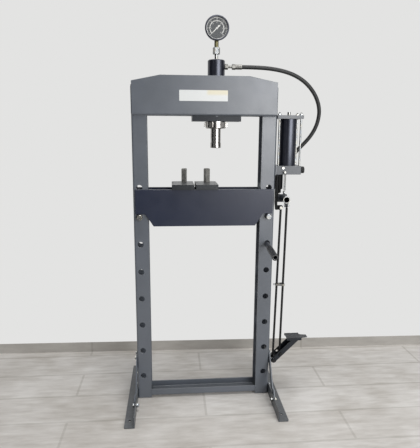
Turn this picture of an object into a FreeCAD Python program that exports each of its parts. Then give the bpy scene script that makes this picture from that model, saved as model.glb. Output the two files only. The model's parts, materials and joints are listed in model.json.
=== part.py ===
# Workshop hydraulic press: a welded H-frame on angle feet, with a bed on two removable pins,
# a cylinder that slides sideways under the head, and a pump worked by a hand lever or a pedal.
# Millimetres. +Z is up and +Y points away from the operator. The origin is on the floor,
# at the centre of the four anchor holes.
import FreeCAD, Part
import os
from math import atan2, cos, degrees, hypot, pi, radians, sin, sqrt, tan

V = FreeCAD.Vector
X_AXIS = V(1, 0, 0)
Y_AXIS = V(0, 1, 0)
Z_AXIS = V(0, 0, 1)

# ---------------------------------------------------------------- uprights
frame_width = 616.0          # over the outer faces of the two uprights
upright_face = 63.0          # width of each flange, seen from the front
upright_depth = 80.0         # front flange to rear flange
upright_wall = 6.0
upright_bend = 8.0           # outer bend radius
upright_floor_gap = 3.0
upright_top = 1417.0
pin_hole_gap = 1.0           # hole over pin
pin_hole_inset = 27.2        # hole centre from the outer face
pin_hole_first = 115.3       # height of the lowest hole
pin_pitch = 125.0
pin_levels = 8
bed_level = 6                # hole, counted from 0, that carries the bed
handle_level = 5             # hole that stores the pump handle

# ---------------------------------------------------------------- head
head_plate = 10.0            # thickness of the two bent plates
head_bottom = 1294.0
head_end_height = 137.0
head_mid_height = 161.0
head_level_half = 186.0      # half length of the level top
head_end_inset = 4.0         # plate ends from the outer faces of the uprights
head_bend = 8.0
neck_gap = 1.0               # flange edge to cylinder neck
flange_end_gap = 1.5         # flange end to upright

# ---------------------------------------------------------------- bed
bed_plate = 10.0
bed_end_inset = 10.0         # bed ends from the outer faces of the uprights
bed_above_pin = 106.6        # bearing edge to top edge
bed_below_pin = 53.4         # bearing edge to bottom edge
bed_bearing = 41.0           # length of each level bearing edge
bed_slope_run = 35.0         # slope from bearing edge to bottom edge
bed_side_gap = 0.5           # bed plates to upright flanges
bed_edge_round = 2.5
bed_spacer = 10.0
bed_spacer_gap = 3.0         # spacers to the inner edges of the uprights
bed_spacer_margin = 8.0
bed_pin_d = 25.0
bed_pin_length = 136.0
bed_pin_chamfer = 2.0
seat_gap = 0.05              # round pieces that lie on a round or flat seat

# ---------------------------------------------------------------- base, feet and braces
crossbar_bottom = 11.5
crossbar_height = 31.9
crossbar_wall = 5.0
crossbar_bend = 8.0
foot_leg = 45.0              # lying leg of the angle
foot_height = 50.0           # standing leg of the angle
foot_wall = 5.0
foot_length = 530.0
foot_corner = 6.0
anchor_inset = 21.3          # anchor hole from the free edge of the lying leg
anchor_spacing_y = 434.0
anchor_d = 11.0
brace_width = 30.0
brace_wall = 5.0
brace_top_z = 200.0
brace_foot_y = 140.0
brace_foot_z = 28.0
brace_joggle_z = 66.0
bolt_y = 24.0                # bolts on the upright, either side of its middle
foot_bolt_z = 36.0
bolt_d = 10.0
bolt_hole_d = 11.0
bolt_af = 16.0
bolt_head = 6.4
bolt_nut = 8.0
bolt_tail = 3.0

# ---------------------------------------------------------------- press blocks
block_length = 150.0
block_width = 95.5
block_thick = 22.0
block_gap = 8.0
block_left_x = -142.0        # left edge of the left block
block_centre_y = 10.0
vee_width = 26.0
vee_depth = 15.0
vee_y = 15.0
post_side = 20.0
post_height = 62.0
post_y = 42.0
post_chamfer = 2.5
post_left_inset = 55.5       # from the left edge of its block
post_right_inset = 53.0
post_left_turn = -15.0
post_right_turn = 30.0

# ---------------------------------------------------------------- sliding cylinder
carriage_x = 49.0            # place of the cylinder along the head
slide_gap = 0.3
slab_length = 206.0
slab_width = 92.0
slab_thick = 22.7
slab_mark = 5.0
saddle_length = 140.0
saddle_thick = 10.0
cylinder_d = 72.0
cylinder_top = 1522.0
cylinder_chamfer = 3.0
neck_d = 60.0
ring_nut_d = 88.0
ring_nut_height = 30.0
ring_nut_chamfer = 4.0
ring_nut_lugs = 6
ring_nut_lug = 6.0
thread_gap = 0.1
ram_d = 43.5
ram_inside = 229.0           # length of ram above the ring nut
ram_outside = 82.0           # ram and cap below the ring nut
ram_stroke = 150.0
running_gap = 0.05
ram_cap_d = 46.0
ram_cap_height = 24.0
ram_spigot_d = 30.0
ram_spigot = 18.0
cap_screw_d = 6.0

# ---------------------------------------------------------------- pressure gauge
gauge_pipe_d = 15.0
gauge_pipe_length = 23.0
gauge_pipe_depth = 12.0
gauge_hex_af = 26.0
gauge_hex_length = 28.0
gauge_stem_d = 20.0
gauge_stem = 27.0
gauge_r = 50.0
gauge_case_r = 47.0
gauge_back_y = 8.0
gauge_depth = 30.0
gauge_wall = 3.0
gauge_bezel_lip = 6.0
gauge_bezel = 9.0
gauge_bezel_over = 4.0
gauge_bezel_chamfer = 2.5
gauge_case_chamfer = 3.0
gauge_glass = 2.0
gauge_dial = 1.0
gauge_dial_depth = 8.5
needle_length = 33.0
needle_tail = 11.0
needle_hub_d = 9.0
needle_thick = 0.8
needle_post_d = 3.0
needle_rise = 1.6
needle_start = 225.0         # angle of the pointer at rest, from +X towards +Z

# ---------------------------------------------------------------- hose and its fittings
hose_d = 17.0
port_z = 1496.5
port_d = 14.0
port_depth = 10.0
fitting_hex_af = 20.0
fitting_hex = 12.0
fitting_neck_d = 11.0
fitting_neck = 12.0
ferrule_d = 21.0
ferrule = 29.0
crimp_width = 2.4
crimp_depth = 0.6
elbow_y = 62.0
elbow_r = 10.0
elbow_rise = 52.0            # outlet of the elbow above the horizontal, in degrees
elbow_reach = 70.0           # elbow centre to end of ferrule
# bends of the hose between its two ferrules
hose_bends = [
    (221.0, 0.0, port_z),
    (291.0, 4.0, 1492.6),
    (353.7, 9.0, 1481.3),
    (402.6, 13.0, 1463.5),
    (445.0, 18.0, 1437.0),
    (479.7, 23.0, 1401.0),
    (502.7, 28.0, 1361.2),
    (513.6, 34.0, 1320.6),
    (511.4, 40.0, 1278.7),
    (499.7, 46.0, 1240.4),
    (479.7, 52.0, 1205.8),
    (454.0, 58.0, 1175.1),
]
hose_last_run = 36.0
hose_arc_share = 0.45        # of the shorter run beside a bend

# ---------------------------------------------------------------- pump
mount_plate = 5.0
mount_plate_over = 5.0       # above and below the block
pump_bottom = 1047.0
pump_block_height = 37.5
pump_block_width = 108.0
pump_depth = 80.0
reservoir_d = 71.0
reservoir_height = 200.0
reservoir_wall = 3.0
reservoir_shift = 3.0        # from the middle of the block towards the outside
top_plate = 15.0
top_plate_over = 3.0
tie_rod_d = 8.0
tie_rod_inset_x = 7.0
tie_rod_y = 32.0
tie_rod_depth = 14.0
tie_nut_af = 13.0
tie_nut = 6.5
tie_rod_tail = 5.0
tie_hole_gap = 0.3
breather_d = 14.0
breather = 16.0
plug_af = 11.0
plug = 6.0
plug_x = 28.0                # from the inner face of the block
plug_z = 28.3                # above the bottom of the block
stud_x = 34.0
stud_z = 11.0
stud_d = 5.0
stud_length = 16.0
barrel_x = 19.0              # barrel centre from the inner face of the block
barrel_d = 38.0
barrel_height = 67.0
barrel_nose_d = 25.0
barrel_nose = 17.0
plunger_d = 12.0
plunger_length = 90.0
knob_d = 30.0
knob = 14.0
knob_chamfer = 1.5
knob_stem_d = 12.0
knob_stem = 5.0
knob_y = -15.0
knob_slot = 5.0

# ---------------------------------------------------------------- hand lever and its bracket
bracket_plate = 6.0
bracket_front_y = -50.0
bracket_back_y = -16.0
bracket_bottom = 893.0
fulcrum_y = -28.0
fulcrum_z = 937.0
fulcrum_d = 10.0
cheek = 4.5
cheek_height = 18.0
lever_gap = 1.0              # cheeks to bracket
fork_gap = 1.5               # cheeks to plunger
fork_pin_d = 6.0
fork_pin_drop = 4.0          # below the fulcrum
fork_slot_gap = 1.0
fork_slot_long = 2.8
hub_d = 20.0
fulcrum_nut_af = 17.0
fulcrum_nut = 8.0
socket_x = 32.0              # socket centre from the inner face of the block
socket_z = 945.0
socket_d = 30.0
socket_bore = 24.0
socket_front_y = -108.0
socket_plate_y = -50.0
socket_plate = 6.0
socket_plate_height = 34.0
lug_plate = 6.0
lug_side = 35.5              # inner side of the lug from the inner face of the block
lug_width = 20.0
push_pin_y = -66.0
push_pin_z = 917.0
push_pin_d = 8.0
push_pin_af = 13.0
push_pin_head = 2.5          # low, to pass the stay rod
push_pin_nut = 5.0
spring_ear = 8.0
spring_y = -47.5
spring_pin_z = 972.0
spring_pin_d = 5.0
lever_travel = 30.0

# ---------------------------------------------------------------- return spring
spring_d = 11.0
spring_wire = 2.0
spring_turns = 9
spring_sides = 8             # the wire is drawn eight-sided, which keeps its facets few
spring_leg = 3.5               # eye to coil at each end

# ---------------------------------------------------------------- rods
rod_d = 10.0
stay_top_x = 22.0            # from the inner face of the block
stay_top_z = 903.0
stay_eye_r = 9.0
stay_eye = 8.0
stay_bolt_d = 8.0
stay_bolt_af = 13.0
stay_bolt_head = 5.5
tab_plate = 4.0
tab_round = 7.0
eye_gap = 0.6
push_eye = 5.0
push_eye_r = 9.0
foot_eye_r = 8.0
foot_eye = 9.0
clip_z = 541.0
clip_height = 9.0
clip_wall = 1.6
clip_room = 1.2
clip_screw_d = 5.0
clip_screw = 9.0

# ---------------------------------------------------------------- pedal
pedal_x = 21.0               # pivot from the outer face of the upright
pedal_y = -22.0
pedal_z = 174.0
pedal_bolt_d = 10.0
pedal_slope = 45.0
arm_width = 50.0
arm_wall = 3.0
arm_below = 13.0             # channel below the line through the pivot
arm_above = 11.0
arm_end_r = 13.0
arm_web_start = 17.0
rod_slot_radius = 45.0       # push rod pin from the pivot, at rest
rod_slot_long = 11.0
rod_slot_gap = 0.6
foot_pin_d = 8.0
ear_plate = 4.0
ear_r = 11.0
ear_inset = 1.5              # ears inside the cheeks
bracket_back = 3.0
bracket_pad_over = 1.0       # pad stands this much proud of the braces
bracket_pad_width = 28.0
bracket_pad_height = 34.0
tread_top = 281.0
tread_wall = 3.0
tread_lip = 9.0
tread_left = 81.0            # left edge of the tread from the outer face of the upright
tread_length = 68.0
tread_width = 60.0
tread_tongue = 32.0
tread_tongue_width = 32.0
tread_teeth = 11
tread_tooth = 3.2

# ---------------------------------------------------------------- stored handle
handle_d = 21.0
handle_wall = 2.0
handle_front_y = -240.0
handle_back_y = 112.0
grip_d = 27.0
grip_length = 132.0
grip_over = 3.0
handle_turn = 1.6            # the stored handle points a little to the left

# ---------------------------------------------------------------- places that follow
outer_x = frame_width / 2
inner_x = outer_x - upright_face
web_in_x = outer_x - upright_wall
half_depth = upright_depth / 2
pin_x = outer_x - pin_hole_inset
hole_z = [pin_hole_first + pin_pitch * k for k in range(pin_levels)]
pin_hole_d = bed_pin_d + pin_hole_gap
pin_drop = (pin_hole_d - bed_pin_d) / 2 - seat_gap
bed_pin_z = hole_z[bed_level] - pin_drop
bed_rest_z = bed_pin_z + bed_pin_d / 2 + seat_gap
bed_top = bed_rest_z + bed_above_pin
bed_bottom = bed_rest_z - bed_below_pin
anchor_x = outer_x + foot_leg - anchor_inset
slab_top = head_bottom - slide_gap
slab_bottom = slab_top - slab_thick
nut_bottom = slab_bottom - ring_nut_height
saddle_bottom = head_bottom + head_plate + slide_gap
saddle_top = saddle_bottom + saddle_thick
ram_bottom = nut_bottom - ram_outside
pump_x = outer_x + mount_plate
pump_end_x = pump_x + pump_block_width
pump_top = pump_bottom + pump_block_height
plate_bottom = pump_top + reservoir_height
barrel_cx = pump_x + barrel_x
barrel_bottom = pump_bottom - barrel_height
fork_in = plunger_d / 2 + fork_gap
socket_cx = pump_x + socket_x
fork_pin_z = fulcrum_z - fork_pin_drop
pivot_x = outer_x + pedal_x
foot_pin_run = rod_slot_radius * cos(radians(pedal_slope))
foot_pin_x = pivot_x + foot_pin_run
foot_pin_z = pedal_z + rod_slot_radius * sin(radians(pedal_slope))
lug_x = pump_x + lug_side
push_eye_x = lug_x + lug_plate + eye_gap
gauge_z = cylinder_top + gauge_pipe_length + gauge_hex_length + gauge_stem + gauge_case_r - 1.0
gauge_front_y = gauge_back_y - gauge_depth
dial_y = gauge_front_y + gauge_dial_depth


# ---------------------------------------------------------------- helpers
def box(x0, x1, y0, y1, z0, z1):
    return Part.makeBox(x1 - x0, y1 - y0, z1 - z0, V(x0, y0, z0))


def rod(start, direction, radius, length):
    return Part.makeCylinder(radius, length, V(*start), V(*direction))


def rod_between(a, b, radius):
    run = V(*b) - V(*a)
    return Part.makeCylinder(radius, run.Length, V(*a), run)


def hexagon(start, direction, across_flats, height, turn=0.0):
    """Hexagonal prism; with no turn two of its corners point along its first side axis."""
    r = across_flats / sqrt(3)
    points = [V(r * cos(radians(60 * k + turn)), r * sin(radians(60 * k + turn)), 0) for k in range(6)]
    face = Part.Face(Part.makePolygon(points + [points[0]]))
    solid = face.extrude(V(0, 0, height))
    solid.Placement = FreeCAD.Placement(V(*start), FreeCAD.Rotation(Z_AXIS, V(*direction)))
    return solid


def plate_xz(points, y0, y1):
    corners = [V(x, y0, z) for x, z in points]
    return Part.Face(Part.makePolygon(corners + [corners[0]])).extrude(V(0, y1 - y0, 0))


def plate_yz(points, x0, x1):
    corners = [V(x0, y, z) for y, z in points]
    return Part.Face(Part.makePolygon(corners + [corners[0]])).extrude(V(x1 - x0, 0, 0))


def plate_xy(points, z0, z1):
    corners = [V(x, y, z0) for x, y in points]
    return Part.Face(Part.makePolygon(corners + [corners[0]])).extrude(V(0, 0, z1 - z0))


def fuse(first, *others):
    return first.multiFuse(list(others)).removeSplitter()


def near(a, b):
    return abs(a - b) < 1e-4


def mirrored(shape):
    return shape.mirror(V(0, 0, 0), X_AXIS)


def slot_between(a, b, radius, direction, length):
    """Solid with round ends that runs between two centres and is as deep as its length."""
    a = V(*a)
    b = V(*b)
    d = V(*direction)
    side = (b - a).cross(d)
    side.normalize()
    side = side * radius
    corners = [a + side, b + side, b - side, a - side]
    middle = Part.Face(Part.makePolygon(corners + [corners[0]])).extrude(d * length)
    ends = [Part.makeCylinder(radius, length, p, d) for p in (a, b)]
    return fuse(middle, *ends)


def bolt(start, direction, grip, head=bolt_head, nut=bolt_nut, af=bolt_af, d=bolt_d):
    """Hexagon bolt with its nut; start is under the head, and direction points to the nut."""
    p = V(*start)
    u = V(*direction)
    parts = [
        hexagon(p - u * head, u, af, head),
        Part.makeCylinder(d / 2, grip + nut + bolt_tail, p, u),
        hexagon(p + u * grip, u, af, nut),
    ]
    return fuse(*parts)


# ---------------------------------------------------------------- frame
def upright_right():
    """Channel with its web outside; pin holes pass through both flanges."""
    z0, z1 = upright_floor_gap, upright_top
    outer = box(inner_x, outer_x, -half_depth, half_depth, z0, z1)
    outer = outer.makeFillet(upright_bend, [
        e for e in outer.Edges if near(e.Length, z1 - z0) and near(e.Vertexes[0].X, outer_x)])
    y_in = half_depth - upright_wall
    inner = box(inner_x - 1, web_in_x, -y_in, y_in, z0 - 1, z1 + 1)
    inner = inner.makeFillet(upright_bend - upright_wall, [
        e for e in inner.Edges if near(e.Length, z1 - z0 + 2) and near(e.Vertexes[0].X, web_in_x)])
    tools = [inner]
    tools += [rod((pin_x, -half_depth - 1, z), (0, 1, 0), pin_hole_d / 2, upright_depth + 2)
              for z in hole_z]
    for y in (-bolt_y, bolt_y):
        for z in (foot_bolt_z, brace_top_z):
            tools.append(rod((web_in_x - 1, y, z), (1, 0, 0), bolt_hole_d / 2, upright_wall + 2))
    return outer.cut(tools)


def head_beam_front():
    """Bent plate: tall web in front of the uprights and a flange under the head, between them."""
    end_x = outer_x - head_end_inset
    z0 = head_bottom
    outline = [(-end_x, z0), (end_x, z0), (end_x, z0 + head_end_height),
               (head_level_half, z0 + head_mid_height),
               (-head_level_half, z0 + head_mid_height), (-end_x, z0 + head_end_height)]
    web = plate_xz(outline, -half_depth - head_plate, -half_depth)
    flange_x = inner_x - flange_end_gap
    flange = box(-flange_x, flange_x, -half_depth - 0.5, -neck_d / 2 - neck_gap, z0, z0 + head_plate)
    shape = fuse(web, flange)
    y0 = -half_depth - head_plate
    corner = box(-end_x - 1, end_x + 1, y0 - 1, y0 + head_bend, z0 - 1, z0 + head_bend)
    corner = corner.cut(rod((-end_x - 2, y0 + head_bend, z0 + head_bend), (1, 0, 0), head_bend,
                            2 * end_x + 4))
    return shape.cut(corner)


def bed_plate_front():
    end_x = outer_x - bed_end_inset
    bearing_x = end_x - bed_bearing
    bottom_x = bearing_x - bed_slope_run
    outline = [(-end_x, bed_rest_z), (-bearing_x, bed_rest_z), (-bottom_x, bed_bottom),
               (bottom_x, bed_bottom),
               (bearing_x, bed_rest_z), (end_x, bed_rest_z), (end_x, bed_top), (-end_x, bed_top)]
    y1 = -half_depth - bed_side_gap
    shape = plate_xz(outline, y1 - bed_plate, y1)
    top = [e for e in shape.Edges if near(e.Length, 2 * end_x) and near(e.Vertexes[0].Z, bed_top)
           and near(e.Vertexes[0].Y, y1 - bed_plate)]
    return shape.makeFillet(bed_edge_round, top)


def bed_spacers():
    y = half_depth + bed_side_gap
    x1 = inner_x - bed_spacer_gap
    right = box(x1 - bed_spacer, x1, -y, y, bed_rest_z - bed_spacer_margin, bed_top - bed_spacer_margin)
    return Part.makeCompound([mirrored(right), right])


def bed_pin_right():
    shape = rod((pin_x, -bed_pin_length / 2, bed_pin_z), (0, 1, 0), bed_pin_d / 2, bed_pin_length)
    return shape.makeChamfer(bed_pin_chamfer, [e for e in shape.Edges if len(e.Vertexes) == 1])


def base_crossbar():
    """Channel open at the top, welded between the flanges of the two uprights."""
    z0 = crossbar_bottom
    outer = box(-inner_x, inner_x, -half_depth, half_depth, z0, z0 + crossbar_height)
    outer = outer.makeFillet(crossbar_bend, [
        e for e in outer.Edges if near(e.Length, 2 * inner_x) and near(e.Vertexes[0].Z, z0)])
    y = half_depth - crossbar_wall
    inner = box(-inner_x - 1, inner_x + 1, -y, y, z0 + crossbar_wall, z0 + crossbar_height + 1)
    inner = inner.makeFillet(crossbar_bend - crossbar_wall, [
        e for e in inner.Edges if near(e.Length, 2 * inner_x + 2)
        and near(e.Vertexes[0].Z, z0 + crossbar_wall)])
    return outer.cut(inner)


def foot_right():
    """Angle along Y: one leg lies on the floor, the other stands against the upright."""
    y = foot_length / 2
    lying = box(outer_x, outer_x + foot_leg, -y, y, 0, foot_wall)
    lying = lying.makeFillet(foot_corner, [
        e for e in lying.Edges if near(e.Length, foot_wall) and near(e.Vertexes[0].X, outer_x + foot_leg)])
    standing = box(outer_x, outer_x + foot_wall, -y, y, 0, foot_height)
    tools = []
    for s in (-1, 1):
        tools.append(rod((anchor_x, s * anchor_spacing_y / 2, -1), (0, 0, 1), anchor_d / 2, foot_wall + 2))
        tools.append(rod((outer_x - 1, s * bolt_y, foot_bolt_z), (1, 0, 0), bolt_hole_d / 2, foot_wall + 2))
        tools.append(rod((outer_x - 1, s * brace_foot_y, brace_foot_z), (1, 0, 0), bolt_hole_d / 2,
                         foot_wall + 2))
    return fuse(lying, standing).cut(tools)


def brace_right(side):
    """Flat bar from the upright down to the outside of the foot, with a joggle of one foot wall."""
    top = V(0, side * bolt_y, brace_top_z)
    foot = V(0, side * brace_foot_y, brace_foot_z)
    run = foot - top
    length = run.Length
    r = brace_width / 2
    drop = (brace_top_z - brace_joggle_z) / (brace_top_z - brace_foot_z) * length
    x0, w, j = outer_x, brace_wall, foot_wall
    outline = [(-r, x0), (drop - j, x0), (drop + j, x0 + j), (length + r, x0 + j),
               (length + r, x0 + j + w), (drop + j, x0 + j + w), (drop - j, x0 + w), (-r, x0 + w)]
    points = [V(s, -r, x) for s, x in outline]
    bar = Part.Face(Part.makePolygon(points + [points[0]])).extrude(V(0, 2 * r, 0))
    ends = slot_between((0, 0, x0 - 1), (length, 0, x0 - 1), r, (0, 0, 1), j + w + 2)
    bar = bar.common(ends)
    holes = [rod((0, 0, x0 - 1), (0, 0, 1), bolt_hole_d / 2, w + 2),
             rod((length, 0, x0 + j - 1), (0, 0, 1), bolt_hole_d / 2, w + 2)]
    bar = bar.cut(holes)
    along = V(run)
    along.normalize()
    across = X_AXIS.cross(along)
    m = FreeCAD.Matrix(along.x, across.x, 1, top.x, along.y, across.y, 0, top.y, along.z, across.z, 0,
                       top.z, 0, 0, 0, 1)
    bar.Placement = FreeCAD.Placement(m)
    return bar


def braces_right():
    return Part.makeCompound([brace_right(-1), brace_right(1)])


def bolts_right():
    """Bolts with heads outside: two through the foot, two at the brace tops, two at the brace feet."""
    solids = []
    flat = foot_wall + upright_wall
    for s in (-1, 1):
        x = outer_x + foot_wall
        solids.append(bolt((x, s * bolt_y, foot_bolt_z), (-1, 0, 0), flat))
        solids.append(bolt((x, s * bolt_y, brace_top_z), (-1, 0, 0), flat))
        solids.append(bolt((x + brace_wall, s * brace_foot_y, brace_foot_z), (-1, 0, 0),
                           foot_wall + brace_wall))
    return Part.makeCompound(solids)


# ---------------------------------------------------------------- press blocks
def press_block(left_x):
    y0 = block_centre_y - block_length / 2
    slab = box(left_x, left_x + block_width, y0, y0 + block_length, bed_top, bed_top + block_thick)
    front, back = vee_y - vee_width / 2, vee_y + vee_width / 2
    notch = [(left_x - 1, back + 1), (left_x, back), (left_x + vee_depth, vee_y), (left_x, front),
             (left_x - 1, front - 1)]
    return slab.cut(plate_xy(notch, bed_top - 1, bed_top + block_thick + 1))


def press_post(x, turn):
    h = post_side / 2
    z0 = bed_top + block_thick
    bar = box(-h, h, -h, h, 0, post_height)
    bar = bar.makeChamfer(post_chamfer, [e for e in bar.Edges if near(e.Length, post_side)
                                         and near(e.Vertexes[0].Z, post_height)])
    bar.Placement = FreeCAD.Placement(V(x, post_y, z0), FreeCAD.Rotation(Z_AXIS, turn))
    return bar


# ---------------------------------------------------------------- sliding cylinder
def carriage_slab():
    x0 = carriage_x - slab_length / 2
    y = slab_width / 2
    slab = box(x0, x0 + slab_length, -y, y, slab_bottom, slab_top)
    mark = plate_xz([(carriage_x - slab_mark, slab_top + 1), (carriage_x, slab_top - slab_mark),
                     (carriage_x + slab_mark, slab_top + 1)], -y - 1, -y + 2)
    bore = rod((carriage_x, 0, slab_bottom - 1), (0, 0, 1), neck_d / 2 + thread_gap, slab_thick + 2)
    return slab.cut([mark, bore])


def saddle_plate():
    """Rides on the two flanges inside the head and carries the shoulder of the cylinder."""
    y = half_depth - neck_gap
    plate = box(carriage_x - saddle_length / 2, carriage_x + saddle_length / 2, -y, y, saddle_bottom,
                saddle_top)
    return plate.cut(rod((carriage_x, 0, saddle_bottom - 1), (0, 0, 1), neck_d / 2 + thread_gap,
                         saddle_thick + 2))


def cylinder():
    body = rod((carriage_x, 0, saddle_top), (0, 0, 1), cylinder_d / 2, cylinder_top - saddle_top)
    body = body.makeChamfer(cylinder_chamfer, [e for e in body.Edges if len(e.Vertexes) == 1
                                               and near(e.Vertexes[0].Z, cylinder_top)])
    neck = rod((carriage_x, 0, nut_bottom), (0, 0, 1), neck_d / 2, saddle_top - nut_bottom + 1)
    bore = rod((carriage_x, 0, nut_bottom - 1), (0, 0, 1), ram_d / 2 + running_gap, ram_inside + 5.0)
    gauge_port = rod((carriage_x, 0, cylinder_top - gauge_pipe_depth), (0, 0, 1),
                     gauge_pipe_d / 2 + thread_gap, gauge_pipe_depth + 1)
    side = carriage_x + cylinder_d / 2
    port = rod((side - port_depth, 0, port_z), (1, 0, 0), port_d / 2 + thread_gap, port_depth + 1)
    return fuse(body, neck).cut([bore, gauge_port, port])


def ring_nut():
    centre = (carriage_x, 0, nut_bottom)
    body = rod(centre, (0, 0, 1), ring_nut_d / 2, ring_nut_height)
    body = body.makeChamfer(ring_nut_chamfer, [e for e in body.Edges if len(e.Vertexes) == 1
                                               and near(e.Vertexes[0].Z, nut_bottom)])
    lugs = []
    for k in range(ring_nut_lugs):
        a = radians(360 / ring_nut_lugs * k)
        r = ring_nut_d / 2
        tooth = box(r - 3, r + ring_nut_lug, -8, 8, nut_bottom + ring_nut_chamfer + 3, slab_bottom - 3)
        tooth.Placement = FreeCAD.Placement(V(carriage_x, 0, 0), FreeCAD.Rotation(Z_AXIS, degrees(a)))
        lugs.append(tooth)
    bore = rod((carriage_x, 0, nut_bottom - 1), (0, 0, 1), neck_d / 2 + thread_gap, ring_nut_height + 2)
    return fuse(body, *lugs).cut(bore)


def ram():
    z_cap = ram_bottom + ram_cap_height
    body = rod((carriage_x, 0, z_cap), (0, 0, 1), ram_d / 2, nut_bottom - z_cap + ram_inside)
    spigot = rod((carriage_x, 0, z_cap - ram_spigot), (0, 0, 1), ram_spigot_d / 2, ram_spigot + 1)
    return fuse(body, spigot)


def ram_cap():
    body = rod((carriage_x, 0, ram_bottom), (0, 0, 1), ram_cap_d / 2, ram_cap_height)
    body = body.makeChamfer(1.5, [e for e in body.Edges if len(e.Vertexes) == 1
                                  and near(e.Vertexes[0].Z, ram_bottom)])
    z_cap = ram_bottom + ram_cap_height
    socket = rod((carriage_x, 0, z_cap - ram_spigot), (0, 0, 1), ram_spigot_d / 2 + thread_gap,
                 ram_spigot + 1)
    screw = rod((carriage_x, -ram_cap_d, z_cap - ram_spigot / 2), (0, 1, 0), cap_screw_d / 2,
                ram_cap_d / 2 + 5)
    return body.cut([socket, screw])


# ---------------------------------------------------------------- pressure gauge
def gauge_pipe():
    return rod((carriage_x, 0, cylinder_top - gauge_pipe_depth), (0, 0, 1), gauge_pipe_d / 2,
               gauge_pipe_length + gauge_pipe_depth)


def gauge_coupling():
    z0 = cylinder_top + gauge_pipe_length
    shape = hexagon((carriage_x, 0, z0), (0, 0, 1), gauge_hex_af, gauge_hex_length)
    limit = rod((carriage_x, 0, z0), (0, 0, 1), gauge_hex_af / sqrt(3) - 0.4, gauge_hex_length)
    limit = limit.makeChamfer(1.6, [e for e in limit.Edges if len(e.Vertexes) == 1])
    return shape.common(limit)


def gauge_case():
    """Cup open to the front, with its stem at the bottom and a post for the pointer."""
    body = rod((carriage_x, gauge_back_y, gauge_z), (0, -1, 0), gauge_case_r,
               gauge_depth - gauge_bezel_over)
    back = [e for e in body.Edges if len(e.Vertexes) == 1 and near(e.Vertexes[0].Y, gauge_back_y)]
    body = body.makeChamfer(gauge_case_chamfer, back)
    cavity = rod((carriage_x, dial_y + gauge_dial, gauge_z), (0, -1, 0), gauge_case_r - gauge_wall,
                 gauge_depth)
    z0 = cylinder_top + gauge_pipe_length + gauge_hex_length
    stem = rod((carriage_x, 0, z0), (0, 0, 1), gauge_stem_d / 2, gauge_stem + 4)
    post = rod((carriage_x, dial_y + gauge_dial + 1, gauge_z), (0, -1, 0), needle_post_d / 2,
               gauge_dial + 1 + needle_rise + 2.2)
    return fuse(fuse(body, stem).cut(cavity), post)


def gauge_dial_disc():
    disc = rod((carriage_x, dial_y + gauge_dial, gauge_z), (0, -1, 0), gauge_case_r - gauge_wall - 0.2,
               gauge_dial)
    return disc.cut(rod((carriage_x, dial_y + gauge_dial + 1, gauge_z), (0, -1, 0), needle_post_d / 2 + 0.1,
                        gauge_dial + 2))


def gauge_bezel_ring():
    y0 = gauge_front_y + gauge_bezel - gauge_bezel_over
    ring = rod((carriage_x, y0, gauge_z), (0, -1, 0), gauge_r, gauge_bezel)
    front = [e for e in ring.Edges if len(e.Vertexes) == 1 and near(e.Vertexes[0].Y, y0 - gauge_bezel)]
    ring = ring.makeChamfer(gauge_bezel_chamfer, front)
    seat = rod((carriage_x, y0 + 1, gauge_z), (0, -1, 0), gauge_case_r + 0.1,
               gauge_bezel - gauge_bezel_over + 1)
    glass_seat = rod((carriage_x, y0, gauge_z), (0, -1, 0), gauge_case_r - gauge_wall, gauge_bezel - 1.5)
    window = rod((carriage_x, y0 + 1, gauge_z), (0, -1, 0), gauge_r - gauge_bezel_lip, gauge_bezel + 2)
    return ring.cut([seat, glass_seat, window])


def gauge_glass_disc():
    y0 = gauge_front_y - gauge_bezel_over + 1.5
    return rod((carriage_x, y0 + gauge_glass, gauge_z), (0, -1, 0), gauge_case_r - gauge_wall - 0.1,
               gauge_glass)


def gauge_needle():
    """Tapered pointer with a short tail, drawn along +X and then turned to its place on the dial."""
    t = needle_thick
    y0 = dial_y - needle_rise
    blade = [(-needle_tail, -1.4), (0, -1.9), (needle_length, -0.5), (needle_length, 0.5), (0, 1.9),
             (-needle_tail, 1.4)]
    corners = [V(x, 0, z) for x, z in blade]
    blade = Part.Face(Part.makePolygon(corners + [corners[0]])).extrude(V(0, -t, 0))
    hub = rod((0, 0, 0), (0, -1, 0), needle_hub_d / 2, t + 0.7)
    bore = rod((0, 1, 0), (0, -1, 0), needle_post_d / 2 + running_gap, t + 3)
    shape = fuse(blade, hub).cut(bore)
    shape.Placement = FreeCAD.Placement(V(carriage_x, y0, gauge_z), FreeCAD.Rotation(Y_AXIS, -needle_start))
    return shape


# ---------------------------------------------------------------- hose fittings
def fitting_stack(start, direction, inside, free_length):
    """Nipple, hexagon, neck, swivel hexagon and ferrule in one line; free_length ends at the ferrule."""
    p = V(*start)
    u = V(*direction)
    u.normalize()
    neck = free_length - ferrule - 2 * fitting_hex - fitting_neck
    nipple = Part.makeCylinder(port_d / 2, inside + 2, p - u * inside, u)
    first = hexagon(p + u * 1.0, u, fitting_hex_af, fitting_hex)
    middle = Part.makeCylinder(fitting_neck_d / 2, fitting_neck + neck, p + u * (fitting_hex + 0.5), u)
    swivel_at = free_length - ferrule - fitting_hex
    swivel = hexagon(p + u * (swivel_at - 0.5), u, fitting_hex_af, fitting_hex + 1.0)
    sleeve = Part.makeCylinder(ferrule_d / 2, ferrule, p + u * (free_length - ferrule), u)
    grooves = []
    for share in (0.3, 0.55, 0.8):
        at = p + u * (free_length - ferrule * share)
        ring = Part.makeCylinder(ferrule_d / 2 + 1.0, crimp_width, at, u)
        grooves.append(ring.cut(Part.makeCylinder(ferrule_d / 2 - crimp_depth, crimp_width, at, u)))
    return fuse(nipple, first, middle, swivel, sleeve).cut(grooves)


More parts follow.
